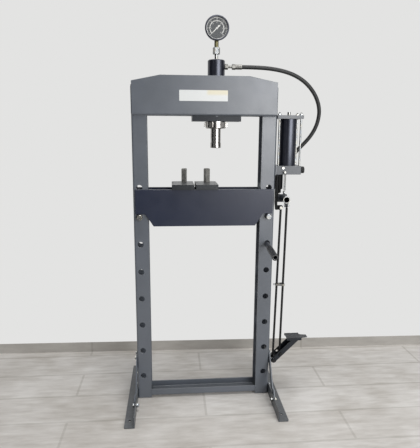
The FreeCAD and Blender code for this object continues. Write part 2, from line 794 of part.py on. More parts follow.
hose_start = V(carriage_x + cylinder_d / 2 + 72.0, 0, port_z)
elbow_x = pump_x + 50.0
elbow_z = pump_bottom + 19.0
elbow_out = V(cos(radians(elbow_rise)), 0, sin(radians(elbow_rise)))
hose_end = V(elbow_x, elbow_y, elbow_z) + elbow_out * elbow_reach


def cylinder_fitting():
    side = carriage_x + cylinder_d / 2
    return fitting_stack((side, 0, port_z), (1, 0, 0), port_depth - 1.0, hose_start.x - side)


def pump_elbow():
    """Straight nipple out of the back of the block, then an elbow that points up along the hose."""
    back = half_depth
    nipple = rod((elbow_x, back - port_depth + 1, elbow_z), (0, 1, 0), port_d / 2, port_depth + 1)
    foot = hexagon((elbow_x, back, elbow_z), (0, 1, 0), fitting_hex_af, fitting_hex)
    body = rod((elbow_x, back + fitting_hex - 1, elbow_z), (0, 1, 0), elbow_r,
               elbow_y + elbow_r - back - fitting_hex + 1)
    centre = V(elbow_x, elbow_y, elbow_z)
    out = fitting_stack(centre + elbow_out * 12.0, elbow_out, 11.0, elbow_reach - 12.0)
    return fuse(nipple, foot, body, out)


# ---------------------------------------------------------------- hose
def hose_route():
    points = [hose_start] + [V(*p) for p in hose_bends]
    points.append(hose_end + elbow_out * hose_last_run)
    points.append(hose_end)
    return points


def hose():
    """Straight runs joined by tangent arcs, swept with a round section."""
    points = hose_route()
    edges = []
    radii = []
    at = points[0]
    for before, corner, after in zip(points, points[1:], points[2:]):
        a = before - corner
        b = after - corner
        shorter = min(a.Length, b.Length)
        turn = pi - a.getAngle(b)
        radius = hose_arc_share * shorter / tan(turn / 2)
        radii.append(radius)
        reach = hose_arc_share * shorter
        a.normalize()
        b.normalize()
        start = corner + a * reach
        end = corner + b * reach
        inward = a + b
        inward.normalize()
        middle = corner + inward * (hypot(radius, reach) - radius)
        edges.append(Part.LineSegment(at, start).toShape())
        edges.append(Part.Arc(start, middle, end).toShape())
        at = end
    edges.append(Part.LineSegment(at, points[-1]).toShape())
    path = Part.Wire(edges)
    first = edges[0]
    circle = Part.Wire(Part.makeCircle(hose_d / 2, points[0], first.tangentAt(first.FirstParameter)))
    solid = path.makePipeShell([circle], True, False)
    print("hose arc radii:", ", ".join("%.0f" % r for r in radii))
    print("hose length %.1f, volume / (section x length) = %.4f"
          % (path.Length, solid.Volume / (pi * hose_d ** 2 / 4 * path.Length)))
    return solid


# ---------------------------------------------------------------- pump
tie_places = [(x, y) for x in (pump_x + tie_rod_inset_x, pump_end_x - tie_rod_inset_x)
              for y in (-tie_rod_y, tie_rod_y)]
reservoir_x = pump_x + pump_block_width / 2 + reservoir_shift - 2.0


def pump_mount_plate():
    return box(outer_x, pump_x, -half_depth, half_depth, pump_bottom - mount_plate_over,
               pump_top + mount_plate_over)


def pump_block():
    y = pump_depth / 2
    block = box(pump_x, pump_end_x, -y, y, pump_bottom, pump_top)
    block = block.makeChamfer(1.5, [e for e in block.Edges if near(e.Length, 2 * y)
                                    and near(e.Vertexes[0].X, pump_end_x)])
    tools = [rod((x, ty, pump_top - tie_rod_depth), (0, 0, 1), tie_rod_d / 2 + thread_gap,
                 tie_rod_depth + 1)
             for x, ty in tie_places]
    tools.append(rod((elbow_x, y - port_depth, elbow_z), (0, 1, 0), port_d / 2 + thread_gap,
                     port_depth + 1))
    tools.append(rod((pump_x + plug_x, -y - 1, pump_bottom + plug_z), (0, 1, 0),
                     plug_af / 2 - 1.0 + thread_gap, 9.0))
    tools.append(rod((pump_x + stud_x, -y - 1, pump_bottom + stud_z), (0, 1, 0), stud_d / 2 + thread_gap,
                     9.0))
    tools.append(rod((pump_end_x - 20.0, knob_y, pump_bottom + pump_block_height / 2), (1, 0, 0),
                     knob_stem_d / 2 + running_gap, 21.0))
    return block.cut(tools)


def reservoir():
    tube = rod((reservoir_x, 0, pump_top), (0, 0, 1), reservoir_d / 2, reservoir_height)
    return tube.cut(rod((reservoir_x, 0, pump_top - 1), (0, 0, 1), reservoir_d / 2 - reservoir_wall,
                        reservoir_height + 2))


def pump_top_plate():
    y = pump_depth / 2
    plate = box(outer_x + 2.0, pump_end_x + top_plate_over, -y, y, plate_bottom, plate_bottom + top_plate)
    plate = plate.makeChamfer(2.0, [e for e in plate.Edges if near(e.Length, 2 * y)
                                    and near(e.Vertexes[0].X, pump_end_x + top_plate_over)])
    tools = [rod((x, ty, plate_bottom - 1), (0, 0, 1), tie_rod_d / 2 + tie_hole_gap, top_plate + 2) for x,
             ty in tie_places]
    tools.append(rod((reservoir_x, 0, plate_bottom + top_plate - 8.0), (0, 0, 1),
                     breather_d / 2 - 3.0 + thread_gap, 9.0))
    return plate.cut(tools)


def tie_rods():
    solids = []
    for x, y in tie_places:
        top = plate_bottom + top_plate
        shaft = rod((x, y, pump_top - tie_rod_depth), (0, 0, 1), tie_rod_d / 2,
                    top + tie_nut + tie_rod_tail - pump_top + tie_rod_depth)
        solids.append(fuse(shaft, hexagon((x, y, top), (0, 0, 1), tie_nut_af, tie_nut, 30.0)))
    return Part.makeCompound(solids)


def breather_cap():
    top = plate_bottom + top_plate
    neck = rod((reservoir_x, 0, top - 7.0), (0, 0, 1), breather_d / 2 - 3.0, 8.0)
    cap = rod((reservoir_x, 0, top), (0, 0, 1), breather_d / 2, breather)
    cap = cap.makeChamfer(2.5, [e for e in cap.Edges if len(e.Vertexes) == 1
                                and near(e.Vertexes[0].Z, top + breather)])
    return fuse(neck, cap)


def pump_plugs():
    y = -pump_depth / 2
    p = pump_x + plug_x
    neck = rod((p, y + 7.0, pump_bottom + plug_z), (0, -1, 0), plug_af / 2 - 1.0, 7.5)
    head = hexagon((p, y, pump_bottom + plug_z), (0, -1, 0), plug_af, plug)
    s = pump_x + stud_x
    z = pump_bottom + stud_z
    stud = rod((s, y + 7.0, z), (0, -1, 0), stud_d / 2, 7.0 + stud_length)
    collar = rod((s, y, z), (0, -1, 0), stud_d / 2 + 1.5, 2.5)
    button = rod((s, y - stud_length, z), (0, -1, 0), stud_d / 2 + 1.5, 2.0)
    return Part.makeCompound([fuse(neck, head), fuse(stud, collar, button)])


def pump_barrel():
    body = rod((barrel_cx, 0, barrel_bottom), (0, 0, 1), barrel_d / 2, barrel_height)
    body = body.makeChamfer(1.5, [e for e in body.Edges if len(e.Vertexes) == 1
                                  and near(e.Vertexes[0].Z, barrel_bottom)])
    nose = rod((barrel_cx, 0, barrel_bottom - barrel_nose), (0, 0, 1), barrel_nose_d / 2, barrel_nose + 1)
    bore = rod((barrel_cx, 0, barrel_bottom - barrel_nose - 1), (0, 0, 1), plunger_d / 2 + running_gap,
               barrel_nose + barrel_height - 3.0)
    return fuse(body, nose).cut(bore)


def plunger():
    """Ground rod with a cross pin through its lower end."""
    bottom = fork_pin_z - plunger_d / 2 - 2.0
    shaft = rod((barrel_cx, 0, bottom), (0, 0, 1), plunger_d / 2, plunger_length)
    shaft = shaft.makeChamfer(1.0, [e for e in shaft.Edges if len(e.Vertexes) == 1])
    half = fork_in + cheek + 0.2
    return fuse(shaft, rod((barrel_cx - half, 0, fork_pin_z), (1, 0, 0), fork_pin_d / 2, 2 * half))


def release_knob():
    """Round knob with finger grooves and a cross slot, on a stem in the end of the block."""
    z = pump_bottom + pump_block_height / 2
    x0 = pump_end_x
    stem = rod((x0 - 16.0, knob_y, z), (1, 0, 0), knob_stem_d / 2, 16.0 + knob_stem + 1)
    disc = rod((x0 + knob_stem, knob_y, z), (1, 0, 0), knob_d / 2, knob)
    front = [e for e in disc.Edges if len(e.Vertexes) == 1 and near(e.Vertexes[0].X, x0 + knob_stem + knob)]
    disc = disc.makeChamfer(knob_chamfer, front)
    tools = []
    for k in range(8):
        a = radians(45 * k)
        tools.append(rod((x0 + knob_stem - 1, knob_y + (knob_d / 2 + 1.5) * cos(a),
                          z + (knob_d / 2 + 1.5) * sin(a)),
                         (1, 0, 0), 3.5, knob + 2))
    tools.append(box(x0 + knob_stem + knob - 5, x0 + knob_stem + knob + 1, knob_y - knob_slot / 2,
                     knob_y + knob_slot / 2,
                     z - knob_d, z + knob_d))
    return fuse(stem, disc).cut(tools)


# ---------------------------------------------------------------- hand lever
def lever_bracket():
    """Plate under the block that carries the fulcrum, with a tab for the top of the stay rod."""
    x0, x1 = pump_x, pump_x + bracket_plate
    y0, y1 = bracket_front_y, bracket_back_y
    z1 = pump_bottom
    outline = [(y0, z1), (y0, bracket_bottom), (y0 + 18.0, bracket_bottom), (y1, fulcrum_z - 16.0),
               (y1, z1)]
    plate = plate_yz(outline, x0, x1)
    tab_end = pump_x + stay_top_x + stay_eye_r + 1.0
    tab = box(x0, tab_end, y0 + tab_plate, y0 + 2 * tab_plate, stay_top_z - stay_eye_r - 1.0,
              stay_top_z + stay_eye_r + 1.0)
    tab = tab.makeFillet(tab_round, [e for e in tab.Edges if near(e.Length, tab_plate)
                                     and near(e.Vertexes[0].X, tab_end)])
    tools = [rod((x0 - 1, fulcrum_y, fulcrum_z), (1, 0, 0), fulcrum_d / 2 + thread_gap, bracket_plate + 2),
             rod((pump_x + stay_top_x, y0, stay_top_z), (0, 1, 0), stay_bolt_d / 2 + 0.3, 12.0)]
    return fuse(plate, tab).cut(tools)


cheek_left = barrel_cx - fork_in - cheek
cheek_right = barrel_cx + fork_in + cheek


def bracket_bolts():
    """Fulcrum pin with its nut, and the bolt that holds the stay rod to the tab."""
    start = pump_x
    pin = rod((start, fulcrum_y, fulcrum_z), (1, 0, 0), fulcrum_d / 2,
              cheek_right + 0.6 + fulcrum_nut + 2 - start)
    nut = hexagon((cheek_right + 0.6, fulcrum_y, fulcrum_z), (1, 0, 0), fulcrum_nut_af, fulcrum_nut)
    tab_front = bracket_front_y + tab_plate
    stay = bolt((pump_x + stay_top_x, tab_front - stay_eye, stay_top_z), (0, 1, 0), stay_eye + tab_plate,
                stay_bolt_head, stay_bolt_head + 1.0, stay_bolt_af, stay_bolt_d)
    return Part.makeCompound([fuse(pin, nut), stay])


def pump_lever():
    """Fork and fulcrum hub at the back, handle socket in front, a lug for the push rod below
    and an ear for the return spring above."""
    r = cheek_height / 2
    slot_a = V(0, fulcrum_y + 27.8, fulcrum_z - fork_pin_drop + 0.1)
    slot_b = slot_a + V(0, fork_slot_long, -0.4 * fork_slot_long)
    front = socket_plate_y
    z_mid = fulcrum_z
    cheeks = []
    for x in (cheek_left, cheek_right - cheek):
        bar = box(x, x + cheek, front, slot_b.y, z_mid - r, z_mid + r)
        end = rod((x, slot_b.y, z_mid - fork_pin_drop / 2), (1, 0, 0), r + 1.0, cheek)
        cheeks.append(fuse(bar, end.cut(box(x - 1, x + cheek + 1, slot_b.y - 40, slot_b.y, z_mid - 40,
                                            z_mid + 40))))
    hub = rod((cheek_left, fulcrum_y, fulcrum_z), (1, 0, 0), hub_d / 2, cheek_right - cheek_left)
    plate_x0 = cheek_left
    plate_x1 = socket_cx + socket_d / 2
    z_low = socket_z - socket_plate_height / 2
    back = box(plate_x0, plate_x1, front, front + socket_plate, z_low, z_low + socket_plate_height)
    back = back.makeFillet(3.0, [e for e in back.Edges if near(e.Length, socket_plate)])
    tube = rod((socket_cx, socket_front_y, socket_z), (0, 1, 0), socket_d / 2, front + 1 - socket_front_y)
    w = lug_width / 2
    lug = box(lug_x, lug_x + lug_plate, push_pin_y - w, push_pin_y + w, push_pin_z, socket_z - 8.0)
    lug_end = rod((lug_x, push_pin_y, push_pin_z), (1, 0, 0), w, lug_plate)
    ear_x = pump_x + stud_x
    ear = box(ear_x - spring_ear / 2, ear_x + spring_ear / 2, front, front + 5.0, socket_z + 8.0,
              spring_pin_z)
    ear_end = rod((ear_x, front, spring_pin_z), (0, 1, 0), spring_ear / 2, 5.0)
    shape = fuse(*cheeks, hub, back, tube, lug, lug_end, ear, ear_end)
    tools = [rod((cheek_left - 1, fulcrum_y, fulcrum_z), (1, 0, 0), fulcrum_d / 2 + running_gap,
                 cheek_right - cheek_left + 2),
             rod((socket_cx, socket_front_y - 1, socket_z), (0, 1, 0), socket_bore / 2,
                 front - socket_front_y + 1),
             rod((lug_x - 1, push_pin_y, push_pin_z), (1, 0, 0), push_pin_d / 2 + thread_gap,
                 lug_plate + 2),
             rod((ear_x, front - 1, spring_pin_z), (0, 1, 0), spring_pin_d / 2 + thread_gap, 7.0),
             slot_between((cheek_left - 1, slot_a.y, slot_a.z), (cheek_left - 1, slot_b.y, slot_b.z),
                          fork_pin_d / 2 + fork_slot_gap, (1, 0, 0), cheek_right - cheek_left + 2)]
    return shape.cut(tools)


def lever_pins():
    """Pin with head and nut for the push rod, and the small pin that holds the return spring."""
    end = push_eye_x + push_eye + eye_gap
    push = bolt((lug_x, push_pin_y, push_pin_z), (1, 0, 0), end - lug_x, push_pin_head, push_pin_nut,
                push_pin_af, push_pin_d)
    x = pump_x + stud_x
    y = socket_plate_y
    pin = rod((x, y + 5.0 + 1.5, spring_pin_z), (0, -1, 0), spring_pin_d / 2, 5.0 + 1.5 + 8.0)
    head = rod((x, y + 5.0 + 3.0, spring_pin_z), (0, -1, 0), spring_pin_d / 2 + 1.5, 3.0)
    return Part.makeCompound([push, fuse(pin, head)])


# ---------------------------------------------------------------- return spring
def return_spring():
    """Tension spring: a coil in quarter-turn arcs between two closed eyes, one on each pin."""
    x = pump_x + stud_x
    y = socket_plate_y - 4.0
    r = (spring_d - spring_wire) / 2
    w = spring_wire / 2
    eye = stud_d / 2 + w + 0.15
    pins = [V(x, y, spring_pin_z), V(x, y, pump_bottom + stud_z)]
    low = pins[0].z + eye + spring_leg
    high = pins[1].z - eye - spring_leg
    steps = spring_turns * 4

    def point(t):
        a = 2 * pi * spring_turns * t
        return V(x + r * cos(a), y + r * sin(a), low + (high - low) * t)

    edges = []
    for k in range(steps):
        edges.append(Part.Arc(point(k / steps), point((k + 0.5) / steps), point((k + 1) / steps)).toShape())
    path = Part.Wire(edges)
    along = edges[0].tangentAt(edges[0].FirstParameter)
    up = along.cross(X_AXIS)
    up.normalize()
    side = up.cross(along)
    turns = [2 * pi * (k + 0.5) / spring_sides for k in range(spring_sides)]
    corners = [point(0) + side * (w * cos(a)) + up * (w * sin(a)) for a in turns]
    section = Part.Wire(Part.makePolygon(corners + [corners[0]]))
    coil = path.makePipeShell([section], True, False)
    pieces = [coil]
    for pin, end, sign in ((pins[0], point(0), 1), (pins[1], point(1), -1)):
        top = pin + V(0, 0, sign * eye)
        pieces += [Part.makeTorus(eye, w, pin, Y_AXIS), rod_between(top, end, w),
                   Part.makeSphere(w * 1.02, end)]
    pitch = (high - low) / spring_turns
    marks = [point(i / (16.0 * spring_turns)) for i in range(16 * spring_turns + 1)]
    gap = min((a - b).Length for i, a in enumerate(marks) for b in marks[i + 8:i + 24]) - spring_wire
    print("return spring: pitch %.2f, least gap between turns %.2f" % (pitch, gap))
    return fuse(pieces[0], *pieces[1:])


# ---------------------------------------------------------------- rods
stay_top = V(pump_x + stay_top_x, bracket_front_y + tab_plate - stay_eye / 2, stay_top_z)
stay_foot = V(pivot_x, pedal_y, pedal_z)
push_top = V(push_eye_x + push_eye / 2, push_pin_y, push_pin_z)
push_foot = V(foot_pin_x, pedal_y, foot_pin_z)


def at_height(a, b, z):
    return a + (b - a) * ((z - a.z) / (b.z - a.z))


def stay_rod():
    run = stay_foot - stay_top
    run.normalize()
    bar = rod_between(stay_top + run * 4.0, stay_foot - run * 4.0, rod_d / 2)
    top = rod(stay_top - V(0, stay_eye / 2, 0), (0, 1, 0), stay_eye_r, stay_eye)
    foot = rod(stay_foot - V(0, foot_eye / 2, 0), (0, 1, 0), foot_eye_r + 2.0, foot_eye)
    tools = [rod(stay_top - V(0, 10, 0), (0, 1, 0), stay_bolt_d / 2 + thread_gap, 20.0),
             rod(stay_foot - V(0, 10, 0), (0, 1, 0), pedal_bolt_d / 2 + thread_gap, 20.0)]
    below = stay_top.z - stay_eye_r - 3.0
    for y in (bracket_front_y + tab_plate, bracket_front_y + tab_plate - stay_eye - 10.0):
        tools.append(box(stay_top.x - 20, stay_top.x + 20, y, y + 10.0, below, stay_top.z + 20))
    return fuse(bar, top, foot).cut(tools)


def push_rod():
    """Rod with a flat eye on the lever pin; its foot carries the cross pin in the pedal arm."""
    run = push_foot - push_top
    run.normalize()
    bar = rod_between(push_top + run * 4.0, push_foot - run * 2.0, rod_d / 2)
    flat = box(push_eye_x, push_eye_x + push_eye, push_top.y - 14, push_top.y + 14, push_top.z - 18,
               push_top.z + 14)
    keep = box(push_eye_x - 20, push_eye_x + 20, push_top.y - 30, push_top.y + 30, push_top.z - 13,
               push_top.z + 30)
    upper = bar.common(keep).common(flat)
    lower = bar.cut(keep)
    eye = rod((push_eye_x, push_top.y, push_top.z), (1, 0, 0), push_eye_r, push_eye)
    foot = rod(push_foot - V(0, foot_eye / 2, 0), (0, 1, 0), foot_eye_r, foot_eye)
    half = arm_width / 2 + 3.0
    pin = rod(push_foot - V(0, half, 0), (0, 1, 0), foot_pin_d / 2, 2 * half)
    head = rod(push_foot - V(0, half + 2.5, 0), (0, 1, 0), foot_pin_d / 2 + 2.5, 2.5)
    tail = rod(push_foot + V(0, half, 0), (0, 1, 0), foot_pin_d / 2 + 2.5, 2.5)
    hole = rod((push_eye_x - 1, push_top.y, push_top.z), (1, 0, 0), push_pin_d / 2 + running_gap,
               push_eye + 2)
    return fuse(lower, upper, eye, foot, pin, head, tail).cut(hole)


def rod_clip():
    """Band round both rods, tightened on the stay rod by a screw; the push rod slides in it."""
    a = at_height(stay_top, stay_foot, clip_z)
    b = at_height(push_top, push_foot, clip_z)
    r = rod_d / 2 + clip_room
    swing = (push_foot.y - push_top.y) * 0.17 + 1.5
    corners = [V(a.x, a.y, clip_z), V(b.x, b.y - 1.0, clip_z), V(b.x, b.y + swing, clip_z)]
    face = Part.Face(Part.makePolygon(corners + [corners[0]]))
    inner = Part.Face(face.makeOffset2D(r).OuterWire)
    outer = Part.Face(face.makeOffset2D(r + clip_wall).OuterWire)
    band = outer.cut(inner).extrude(V(0, 0, clip_height))
    z = clip_z + clip_height / 2
    tip = a.x - rod_d / 2 - seat_gap
    hole = rod((tip - 20, a.y, z), (1, 0, 0), clip_screw_d / 2 - 0.5, 20)
    screw = rod((tip - clip_screw, a.y, z), (1, 0, 0), clip_screw_d / 2 - 0.5, clip_screw)
    head = hexagon((tip - clip_screw, a.y, z), (1, 0, 0), 8.0, 3.5)
    return fuse(band.cut(hole), screw, head)


# ---------------------------------------------------------------- pedal
def in_arm(shape):
    """Turn a shape drawn along +X from the pivot to the slope of the pedal arm."""
    shape.Placement = FreeCAD.Placement(V(pivot_x, pedal_y, pedal_z),
                                        FreeCAD.Rotation(Y_AXIS, -pedal_slope))
    return shape


def pedal_bracket():
    """Two ears inside the cheeks of the arm, joined by a back plate on a pad between the braces."""
    x1 = outer_x + brace_wall + bracket_pad_over
    ear_out = arm_width / 2 - arm_wall - ear_inset
    y0, y1 = pedal_y - ear_out, pedal_y + ear_out
    top = pedal_z + ear_r
    pad = box(outer_x, x1 + 1, -bracket_pad_width / 2, bracket_pad_width / 2, top - 1 - bracket_pad_height,
              top - 1)
    back = box(x1, x1 + bracket_back, y0, y1, pedal_z - ear_r, top)
    ears = []
    for y in (y0, y1 - ear_plate):
        arm = box(x1, pivot_x, y, y + ear_plate, pedal_z - ear_r, pedal_z + ear_r)
        ears += [arm, rod((pivot_x, y, pedal_z), (0, 1, 0), ear_r, ear_plate)]
    bore = rod((pivot_x, y0 - 1, pedal_z), (0, 1, 0), pedal_bolt_d / 2 + thread_gap, 2 * ear_out + 2)
    return fuse(pad, back, *ears).cut(bore)


def pedal_pivot_bolt():
    half = arm_width / 2 + 0.6
    return bolt((pivot_x, pedal_y - half, pedal_z), (0, 1, 0), 2 * half, bolt_head - 1.0, bolt_nut - 2.0,
                bolt_af,
                pedal_bolt_d)


arm_reach = (tread_top - tread_wall - pedal_z) / sin(radians(pedal_slope))


def pedal_arm():
    """Channel that opens upwards, with round ends at the pivot and slots for the push rod pin."""
    w = arm_width / 2
    far = arm_reach + 40.0
    outer = box(0, far, -w, w, -arm_below, arm_above)
    outer = outer.makeFillet(4.0, [e for e in outer.Edges if near(e.Length, far)
                                   and near(e.Vertexes[0].Z, -arm_below)])
    inner = box(-1, far + 1, -w + arm_wall, w - arm_wall, -arm_below + arm_wall, arm_above + 1)
    ends = fuse(rod((0, -w, 0), (0, 1, 0), arm_end_r, 2 * w))
    open_end = box(-arm_end_r - 1, arm_web_start, -w + arm_wall, w - arm_wall, -arm_end_r - 1,
                   arm_end_r + 1)
    shape = fuse(outer, ends).cut([inner, open_end])
    slot = slot_between((rod_slot_radius, -w - 1, 0), (rod_slot_radius - rod_slot_long, -w - 1, 0),
                        foot_pin_d / 2 + rod_slot_gap, (0, 1, 0), 2 * w + 2)
    bore = rod((0, -w - 1, 0), (0, 1, 0), pedal_bolt_d / 2 + running_gap, 2 * w + 2)
    shape = in_arm(shape.cut([slot, bore]))
    above = tread_top - tread_wall
    return shape.cut(box(outer_x - 50, outer_x + 400, -200, 200, above, above + 300))


def pedal_tread():
    """Level plate with toothed front and back lips and a narrower tongue at its free end."""
    x0 = outer_x + tread_left
    x1 = x0 + tread_length
    y0, y1 = pedal_y + 2.0 - tread_width / 2, pedal_y + 2.0 + tread_width / 2
    z0 = tread_top - tread_wall
    plate = box(x0, x1, y0, y1, z0, tread_top)
    t = tread_tongue_width / 2
    mid = (y0 + y1) / 2
    tongue = plate_xy([(x1 - 1, mid - t - 6), (x1 + 8, mid - t), (x1 + tread_tongue, mid - t + 4),
                       (x1 + tread_tongue, mid + t - 4),
                       (x1 + 8, mid + t), (x1 - 1, mid + t + 6)], z0, tread_top)
    lips = []
    pitch = tread_length / tread_teeth
    for y in (y0, y1 - tread_wall):
        teeth = []
        for k in range(tread_teeth):
            teeth.append((x0 + k * pitch, tread_top + 0.5))
            teeth.append((x0 + (k + 0.5) * pitch, tread_top + 0.5 + tread_tooth))
        teeth += [(x1, tread_top + 0.5), (x1, z0 - tread_lip + tread_tooth),
                  (x0, z0 - tread_lip + tread_tooth)]
        lips.append(plate_xz(teeth, y, y + tread_wall))
    return fuse(plate, tongue, *lips)


# ---------------------------------------------------------------- stored handle
handle_play = (pin_hole_d - handle_d) / 2 - 2 * seat_gap
handle_rise = degrees(atan2(sqrt(handle_play ** 2 - (half_depth * tan(radians(handle_turn))) ** 2),
                            half_depth))


def in_hole(shape):
    """Lay a shape drawn along +Y from the middle of the upright into its storage hole."""
    tilt = FreeCAD.Rotation(X_AXIS, handle_rise)
    turn = FreeCAD.Rotation(Z_AXIS, -handle_turn)
    shape.Placement = FreeCAD.Placement(V(pin_x, 0, hole_z[handle_level]), turn.multiply(tilt))
    return shape


def stored_handle():
    length = handle_back_y - handle_front_y
    tube = rod((0, handle_front_y + grip_over, 0), (0, 1, 0), handle_d / 2, length - grip_over)
    return in_hole(tube.cut(rod((0, handle_front_y - 1, 0), (0, 1, 0), handle_d / 2 - handle_wall,
                                length + 2)))


def handle_grip():
    sleeve = rod((0, handle_front_y, 0), (0, 1, 0), grip_d / 2, grip_length)
    sleeve = sleeve.makeChamfer(1.5, [e for e in sleeve.Edges if len(e.Vertexes) == 1])
    return in_hole(sleeve.cut(rod((0, handle_front_y - 1, 0), (0, 1, 0), handle_d / 2 + thread_gap,
                                  grip_length + 2)))


# ---------------------------------------------------------------- the whole press
def across(shape):
    """The same piece on the far side of the head or bed."""
    return shape.mirror(V(0, 0, 0), Y_AXIS)


upright = upright_right()
beam = head_beam_front()
bed = bed_plate_front()
pin = bed_pin_right()
foot = foot_right()
braces = braces_right()
bolts = bolts_right()

pieces = {
    "upright_left": mirrored(upright),
    "upright_right": upright,
    "head_beam_front": beam,
    "head_beam_rear": across(beam),
    "bed_plate_front": bed,
    "bed_plate_rear": across(bed),
    "bed_spacers": bed_spacers(),
    "bed_pin_left": mirrored(pin),
    "bed_pin_right": pin,
    "base_crossbar": base_crossbar(),
    "foot_left": mirrored(foot),
    "foot_right": foot,
    "braces_left": mirrored(braces),
    "braces_right": braces,
    "bolts_left": mirrored(bolts),
    "bolts_right": bolts,
    "press_block_left": press_block(block_left_x),
    "press_block_right": press_block(block_left_x + block_width + block_gap),
    "press_post_left": press_post(block_left_x + post_left_inset, post_left_turn),
    "press_post_right": press_post(block_left_x + block_width + block_gap + post_right_inset,
                                   post_right_turn),
    "carriage_slab": carriage_slab(),
    "saddle_plate": saddle_plate(),
    "cylinder": cylinder(),
    "ring_nut": ring_nut(),
    "ram": ram(),
    "ram_cap": ram_cap(),
    "gauge_pipe": gauge_pipe(),
    "gauge_coupling": gauge_coupling(),
    "gauge_case": gauge_case(),
    "gauge_dial": gauge_dial_disc(),
    "gauge_bezel": gauge_bezel_ring(),
    "gauge_glass": gauge_glass_disc(),
    "gauge_needle": gauge_needle(),
    "cylinder_fitting": cylinder_fitting(),
    "hose": hose(),
    "pump_elbow": pump_elbow(),
    "pump_mount_plate": pump_mount_plate(),
    "pump_block": pump_block(),
    "reservoir": reservoir(),
    "pump_top_plate": pump_top_plate(),
    "tie_rods": tie_rods(),
    "breather_cap": breather_cap(),
    "pump_plugs": pump_plugs(),
    "pump_barrel": pump_barrel(),
    "plunger": plunger(),
    "release_knob": release_knob(),
    "lever_bracket": lever_bracket(),
    "bracket_bolts": bracket_bolts(),
    "pump_lever": pump_lever(),
    "lever_pins": lever_pins(),
    "return_spring": return_spring(),
    "stay_rod": stay_rod(),
    "push_rod": push_rod(),
    "rod_clip": rod_clip(),
    "pedal_bracket": pedal_bracket(),
    "pedal_pivot_bolt": pedal_pivot_bolt(),
    "pedal_arm": pedal_arm(),
    "pedal_tread": pedal_tread(),
    "stored_handle": stored_handle(),
    "handle_grip": handle_grip(),
}

os.makedirs("parts", exist_ok=True)
for name, shape in pieces.items():
    if not shape.isValid() or not shape.Solids:
        print("check:", name, shape.ShapeType, len(shape.Solids))
    shape.exportStep("parts/%s.step" % name)
print(len(pieces), "pieces written")
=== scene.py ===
# Looks for a workshop press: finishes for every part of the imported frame, and finer pieces for the
# hose, spring, bolts, gauge, grip, ram, reservoir, welds and label. Metres, in the frame's own axes.
import json
import math
import bmesh
import bpy
import numpy as np
from mathutils import Matrix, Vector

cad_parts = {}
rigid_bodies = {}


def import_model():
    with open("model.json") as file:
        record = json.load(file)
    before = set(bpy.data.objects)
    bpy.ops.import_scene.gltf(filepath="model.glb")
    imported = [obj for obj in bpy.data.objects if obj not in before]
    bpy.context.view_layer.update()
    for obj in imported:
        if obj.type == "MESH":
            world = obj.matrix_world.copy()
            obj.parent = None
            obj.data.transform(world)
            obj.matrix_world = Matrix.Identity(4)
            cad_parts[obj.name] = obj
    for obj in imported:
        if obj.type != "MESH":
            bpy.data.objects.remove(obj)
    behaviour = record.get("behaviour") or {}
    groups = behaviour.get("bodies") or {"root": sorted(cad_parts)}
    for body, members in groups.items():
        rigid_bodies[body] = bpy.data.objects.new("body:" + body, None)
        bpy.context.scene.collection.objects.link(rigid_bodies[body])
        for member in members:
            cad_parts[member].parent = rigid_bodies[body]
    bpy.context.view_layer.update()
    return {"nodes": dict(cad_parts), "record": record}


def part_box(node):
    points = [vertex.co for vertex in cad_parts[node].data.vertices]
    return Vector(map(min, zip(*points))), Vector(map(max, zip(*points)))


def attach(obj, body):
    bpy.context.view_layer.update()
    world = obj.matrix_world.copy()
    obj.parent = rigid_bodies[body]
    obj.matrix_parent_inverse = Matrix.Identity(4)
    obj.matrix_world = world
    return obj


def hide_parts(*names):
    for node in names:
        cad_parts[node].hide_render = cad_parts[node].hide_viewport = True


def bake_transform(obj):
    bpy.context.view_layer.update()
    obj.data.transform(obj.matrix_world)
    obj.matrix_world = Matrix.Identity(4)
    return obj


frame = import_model()
nodes = frame["nodes"]
print("frame loaded,", len(nodes), "parts")


# camera: the photograph's place and angle, worked out from the press's own corners
camera = {"place": (-0.1446, -2.0163, 1.2249), "yaw": -0.08495, "pitch": 0.19632, "roll": -0.0068,
          "lens": 39.43, "sensor": 36.0, "near": 0.05, "far": 60.0}


def addObject(name, data):
    holder = bpy.data.objects.new(name, data)
    bpy.context.scene.collection.objects.link(holder)
    return holder


def placeObject(name, data, place, right, up, back):
    turn = np.eye(4)
    turn[:3, 0], turn[:3, 1], turn[:3, 2], turn[:3, 3] = right, up, back, place
    holder = addObject(name, data)
    holder.matrix_world = Matrix(turn.tolist())
    return holder


def aimCamera():
    cy, sy = math.cos(camera["yaw"]), math.sin(camera["yaw"])
    cp, sp = math.cos(camera["pitch"]), math.sin(camera["pitch"])
    cr, sr = math.cos(camera["roll"]), math.sin(camera["roll"])
    forward = np.array([-sy * cp, cy * cp, -sp])
    level = np.array([cy, sy, 0.0])
    down = np.cross(forward, level)
    data = bpy.data.cameras.new("photoCamera")
    data.sensor_fit = "HORIZONTAL"
    data.sensor_width = camera["sensor"]
    data.lens = camera["lens"]
    data.clip_start, data.clip_end = camera["near"], camera["far"]
    holder = placeObject("photoCamera", data, camera["place"], cr * level + sr * down, sr * level - cr * down,
                         -forward)
    bpy.context.scene.camera = holder


aimCamera()
print("camera placed")


def linear(hexColour):  # sRGB hex to the linear colour that Blender works in
    channels = np.array([int(hexColour[i:i + 2], 16) for i in (1, 3, 5)]) / 255.0
    curved = np.where(channels <= 0.04045, channels / 12.92, ((channels + 0.055) / 1.055) ** 2.4)
    return (*curved.tolist(), 1.0)


def addNode(tree, kind, inputs=None, **settings):  # one node, with its settings, values and links
    node = tree.nodes.new("ShaderNode" + kind)
    for name, value in settings.items():
        setattr(node, name, value)
    for key, value in (inputs or {}).items():
        if isinstance(value, bpy.types.NodeSocket):
            tree.links.new(value, node.inputs[key])
        else:
            node.inputs[key].default_value = value
    return node


